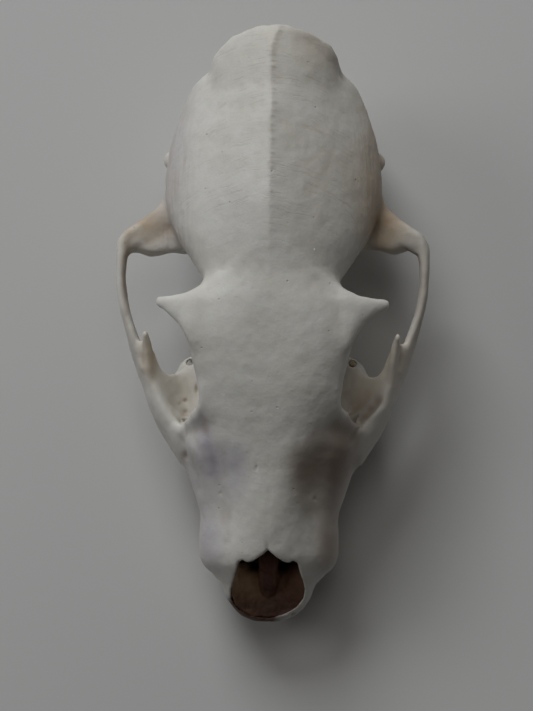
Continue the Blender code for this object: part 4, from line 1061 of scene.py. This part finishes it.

# Bone finish. Weathered bone is a warm white with faint growth lines over the braincase, streaks where
# the jaw muscles sat, pores, and tan, brown or cool grey stains where grease and soil stayed longest.
# The brown layer also carries painted shade: on the muzzle's left side, in grooves and openings that
# face away from the window, and as a thin shadow beside the crest. Hollows are darkened as painted
# shade with some dirt.
TAN, BROWN, COOL, STREAKED = range(4)
points, normals = read_surface(cranium.data)
stains_and_shade = np.zeros((len(points), 4))
for layer, places in (
    (TAN, (
        ((-21.2, 64.2, 19), (4, 3.2, 4), 1),
        ((18.8, 64.4, 19), (4, 3.4, 4), 1),
        ((-19.8, 43.5, 19), (1.6, 5, 4), 0.75),
        ((-17.4, 39.5, 15.5), (2, 2.5, 3), 0.25),
        ((20, 43, 18.5), (2.6, 5, 4), 0.6),
        ((17.5, 37.5, 15.5), (3, 4, 3), 0.35),
        ((-14, 37, 13.5), (4, 6, 2.5), 0.25),
        ((14, 37, 13.5), (4, 6, 2.5), 0.3),
        ((16, 71, 21), (3.2, 15, 9), 0.7),
        ((-17, 72, 17), (2, 12, 6), 0.3),
        ((24.6, 52, 18), (2, 14, 4), 0.25),
        ((-23.9, 56, 18.5), (0.8, 8, 4), 0.6),
        ((8, 76, 34), (7, 16, 9), 0.14),
        ((6, 92, 29), (6, 4, 5), 0.2),
    )),
    (BROWN, (
        ((24.6, 52, 18), (2, 14, 4), 0.28),
        ((-22.3, 46, 17), (0.8, 4, 4), 0.3),
        ((-23.9, 56, 18.5), (0.7, 6, 4), 0.4),
        ((16.7, 73, 23), (1.9, 12, 7), 0.3),
        ((-20.3, 66, 20), (2.6, 1.8, 3), 0.22),
        ((19, 66.6, 20), (3, 2.4, 3), 0.24),
        ((8, 46, 33), (5, 9, 4), 0.07),
        # painted shade: the muzzle's left side, cheek and hollow beside the nasals, which face away from
        # the window, a real brown stain deepened
        ((7.9, 27.2, 24.5), (3.4, 4.8, 6), 0.53),
        ((5.9, 22.8, 24.5), (2.7, 3.8, 5), 0.46),
        ((4.4, 25.4, 26), (1.6, 3, 5), 0.25),
        ((10.6, 31.4, 24), (2.2, 3, 4), 0.18),
        ((5.8, 18.6, 24), (1.4, 2.2, 4), 0.2),
        ((12, 29, 21), (2.8, 5, 5.5), 0.55),
        ((10.8, 22.5, 19.5), (2.6, 5, 5.5), 0.6),
        ((9.8, 13, 18.5), (2.6, 5.5, 6), 0.65),
        # painted shadow in the groove under the rim at the left orbit's front
        ((15.2, 33.7, 17.5), (0.9, 0.8, 3), 0.55),
        ((16.4, 34.9, 17.5), (0.9, 0.9, 3), 0.6),
        ((17.6, 36.2, 18), (0.9, 1, 3), 0.5),
        # painted shade, carrying the muzzle's shaded left side up to the orbit's front
        ((13.2, 31.4, 19), (1.3, 2, 4), 0.25),
        # painted shade in the pocket at the right orbit's front corner, then in the two openings of the
        # infraorbital canals
        ((-12.9, 31.6, 18.5), (1, 1.5, 3), 0.5),
        ((-13.8, 26.9, 15.5), (0.8, 1, 3), 0.7),
        ((14.2, 26.6, 15), (1, 1.4, 3), 0.4),
        # painted shade in the groove under the left side of the nuchal ledge
        ((9.4, 90.2, 27), (1.6, 1.6, 4), 0.3),
        ((4.4, 93.4, 29), (3, 0.9, 4), 0.22),
        ((-2.8, 0.6, 11), (3.4, 2, 3), 2.6),
        ((-5.2, 2.6, 12), (1.5, 2, 2.6), 1.3),
        ((-0.8, 3, 11.2), (4.2, 2, 1.4), 1.6),
        ((0, 12.5, 14.5), (4.6, 5, 4.4), 1),
    )),
    (COOL, (
        ((-11.4, 24, 18), (2.6, 9, 7), 0.5),
        ((-10.7, 29.5, 24), (1.8, 4.2, 5), 0.4),
        ((-8.6, 24.5, 24), (1.7, 4, 5), 0.5),
        ((-10.9, 32.6, 25), (0.9, 2.4, 5), 0.22),
        ((-9.9, 29, 25), (0.8, 2.4, 5), 0.4),
        ((-9, 25.4, 24), (0.8, 2.4, 5), 0.4),
        ((-5.3, 25.8, 25.5), (2.3, 3.4, 5), 0.75),
        ((-5.8, 20.6, 25), (2.4, 3, 5), 0.35),
        ((-6, 64, 34), (6, 6, 5), 0.2),
        ((-15.5, 74, 22), (3, 14, 6), 0.5),
        ((-9.4, 12.5, 17.5), (3, 5, 6), 0.65),
    )),
    (STREAKED, (
        ((16, 71, 22), (3.4, 13, 9), 1),
        ((-16, 71, 22), (3, 13, 9), 1),
        ((14, 60, 24), (4, 5, 6), 0.6),
        ((-14, 60, 24), (4, 5, 6), 0.6),
    )),
):
    for centre, radii, share in places:
        stains_and_shade[:, layer] += share * nearness(points, centre, radii)
back, offset, ripple = beside_crest(points)
# painted shadow: a thin brown band on the crest's left side, away from the window, broken into small
# nicks by its ripple
crest_shadow = np.exp(-(((offset - 0.35) / 0.55) ** 2)) * np.clip((back - 64) / 8, 0, 1)
crest_shadow *= points[:, 2] > 28
stains_and_shade[:, BROWN] += crest_shadow * np.clip(0.12 + 0.1 * ripple, 0.03, 0.35)
paint = cranium.data.attributes.new("stains_and_shade", "FLOAT_COLOR", "POINT")
paint.data.foreach_set("color", np.clip(stains_and_shade, 0, 1).ravel())

# How far each point sits in a hollow. The finish darkens hollows with it, as painted shade with some
# dirt.
ends = np.empty(len(cranium.data.edges) * 2, dtype=np.int32)
cranium.data.edges.foreach_get("vertices", ends)
ends = ends.reshape(-1, 2)
BOTH_WAYS = ((0, 1), (1, 0))
cupped = np.zeros(len(points))
for near, far in BOTH_WAYS:
    shift = ((points[ends[:, far]] - points[ends[:, near]]) * normals[ends[:, near]]).sum(axis=1)
    np.add.at(cupped, ends[:, near], shift)
for softening in range(3):
    spread = np.zeros(len(points))
    meets = np.zeros(len(points))
    for near, far in BOTH_WAYS:
        np.add.at(spread, ends[:, near], cupped[ends[:, far]])
        np.add.at(meets, ends[:, near], 1)
    cupped = (cupped + spread / meets) / 2
hollow_dirt_and_shade = cranium.data.attributes.new("hollow_dirt_and_shade", "FLOAT", "POINT")
hollow_dirt_and_shade.data.foreach_set("value", np.clip(cupped / 0.25, 0, 1))

weathered, tree, shader, spots = new_finish("weathered_bone", 0.56, 0.3)
stain_and_shade = add_node(tree, "Attribute", {"attribute_name": "stains_and_shade"})
stain_and_shade_parts = add_node(tree, "SeparateColor", Color=stain_and_shade.outputs["Color"]).outputs
streak_share = stain_and_shade.outputs["Alpha"]
hollow_dirt_and_shade_share = add_node(tree, "Attribute", {"attribute_name": "hollow_dirt_and_shade"}).outputs["Fac"]
sideways, along, upward = add_node(tree, "SeparateXYZ", Vector=spots).outputs
mottle = cloudy(tree, spots, 0.11, 5, 0.6)
patches = cloudy(tree, spots, 0.32, 4, 0.6)
grain = cloudy(tree, spots, 2.4, 4, 0.65)

bow = work_out(tree, "MULTIPLY_ADD", times(tree, sideways, sideways), 0.022, along)
bow = work_out(tree, "MULTIPLY_ADD", mottle, 3, bow)
growth_spots = add_node(tree, "CombineXYZ", X=times(tree, sideways, 0.045), Y=bow).outputs[0]
growth = cloudy(tree, growth_spots, 1.1, 1, 0.4)
growth = work_out(tree, "ABSOLUTE", work_out(tree, "SUBTRACT", growth, 0.5))
growth = rise_from(tree, growth, 0.03, 0)
on_case = times(tree, rise_from(tree, along, 8, 18), rise_from(tree, upward, 24, 29))
on_case = times(tree, on_case, rise_from(tree, patches, 0.42, 0.6))
growth = times(tree, growth, on_case)
streaks = cloudy(tree, stretched(tree, spots, (1.5, 0.07, 1)), 1, 4, 0.6)
streaks = times(tree, rise_from(tree, streaks, 0.42, 0.66), streak_share)
pore_cells = add_node(tree, "TexVoronoi", Vector=spots, Scale=0.75)
pores = rise_from(tree, pore_cells.outputs["Distance"], 0.16, 0.05)
pore_pick = add_node(tree, "SeparateColor", Color=pore_cells.outputs["Color"]).outputs[0]
pores = times(tree, pores, rise_from(tree, pore_pick, 0.9, 0.96))

dull_share = rise_from(tree, mottle, 0.38, 0.64)
colour = tint(tree, dull_share, (0.745, 0.735, 0.7, 1), (0.675, 0.66, 0.61, 1))
brown = tint(tree, rise_from(tree, along, -41, -38), (0.09, 0.048, 0.032, 1), (0.16, 0.088, 0.056, 1))
for share, weight, cover in (
    (rise_from(tree, patches, 0.5, 0.7), 0.3, (0.64, 0.62, 0.57, 1)),
    (rise_from(tree, grain, 0.52, 0.72), 0.16, (0.52, 0.48, 0.42, 1)),
    (stain_and_shade_parts[TAN], rise_from(tree, mottle, 0.2, 0.5), (0.56, 0.43, 0.29, 1)),
    (stain_and_shade_parts[COOL], 1, (0.45, 0.43, 0.475, 1)),
    # brown stains, together with the painted shade that the brown layer carries
    (stain_and_shade_parts[BROWN], 1, brown),
    (streaks, 0.4, (0.45, 0.37, 0.3, 1)),
    (growth, 0.2, (0.42, 0.37, 0.31, 1)),
    (pores, 0.38, (0.28, 0.21, 0.15, 1)),
    # painted shade in hollows, with some dirt
    (hollow_dirt_and_shade_share, 0.6, (0.3, 0.22, 0.15, 1)),
):
    colour = tint(tree, times(tree, share, weight), colour, cover)
tree.links.new(colour, shader.inputs["Base Color"])
tree.links.new(work_out(tree, "MULTIPLY_ADD", grain, 0.3, 0.42), shader.inputs["Roughness"])
shader.inputs["Subsurface Weight"].default_value = 0.1
shader.inputs["Subsurface Radius"].default_value = (1, 0.65, 0.4)
emboss(
    tree, shader, (patches, 0.1), (grain, 0.03), (growth, -0.022), (streaks, -0.05), (pores, -0.07),
)
set_on_skull(cranium, "cranium", weathered)

# Studio. A plain pale floor and a soft window light from behind the skull's right side, as in the photo,
# with weak light from the ceiling, from the wall on that side and from a doorway behind the other side.
floor_bm = bmesh.new()
bmesh.ops.create_grid(floor_bm, x_segments=1, y_segments=1, size=3)
floor = as_object("floor", floor_bm)
pale, _, shader, _ = new_finish("pale_floor", 0.9, 0.2)
shader.inputs["Base Color"].default_value = (0.62, 0.62, 0.62, 1)
floor.data.materials.append(pale)
floor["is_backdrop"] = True

for name, spot, size, power, colour in (
    ("window", (-0.26, 0.66, 0.59), 0.45, 3.5, (0.97, 0.99, 1)),
    ("ceiling", (-0.06, 0.32, 0.9), 0.5, 0.9, (1, 0.97, 0.92)),
    ("doorway", (0.45, 0.8, 0.4), 0.45, 0.4, (1, 0.96, 0.9)),
    ("wall", (-0.72, 0.22, 0.5), 0.4, 1, (1, 0.99, 0.98)),
):
    lamp = bpy.data.lights.new(name, "AREA")
    lamp.shape = "DISK"
    lamp.size = size
    lamp.energy = power
    lamp.color = colour
    holder = bpy.data.objects.new(name, lamp)
    scene.collection.objects.link(holder)
    holder.location = spot
    holder.rotation_euler = (-Vector(spot)).to_track_quat("-Z", "Y").to_euler()

world = bpy.data.worlds.new("room")
world.use_nodes = True
sky = world.node_tree.nodes["Background"].inputs
sky["Color"].default_value = (1, 0.99, 0.97, 1)
sky["Strength"].default_value = 0.02
scene.world = world
scene.view_settings.view_transform = "Standard"

# Camera. It looks down on the skull from nearly straight above, a third of a metre away.
lens = bpy.data.cameras.new("camera")
lens.sensor_width = 36
lens.lens = 104
lens.clip_start = 0.01
camera = bpy.data.objects.new("camera", lens)
scene.collection.objects.link(camera)
scene.camera = camera
azimuth, elevation, roll = (math.radians(angle) for angle in (10.923, 84.195, 0.9))
distance = 0.334031
aim = Vector((-0.000753, -0.004297, 0.02))
away = Vector((
    math.sin(azimuth) * math.cos(elevation),
    -math.cos(azimuth) * math.cos(elevation),
    math.sin(elevation),
))
across = Vector((0, 1, 0)).cross(away).normalized()
camera.matrix_world = (
    Matrix.Translation(aim + away * distance)
    @ Matrix((across, away.cross(across), away)).transposed().to_4x4()
    @ Matrix.Rotation(roll, 4, "Z")
)

low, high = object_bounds()
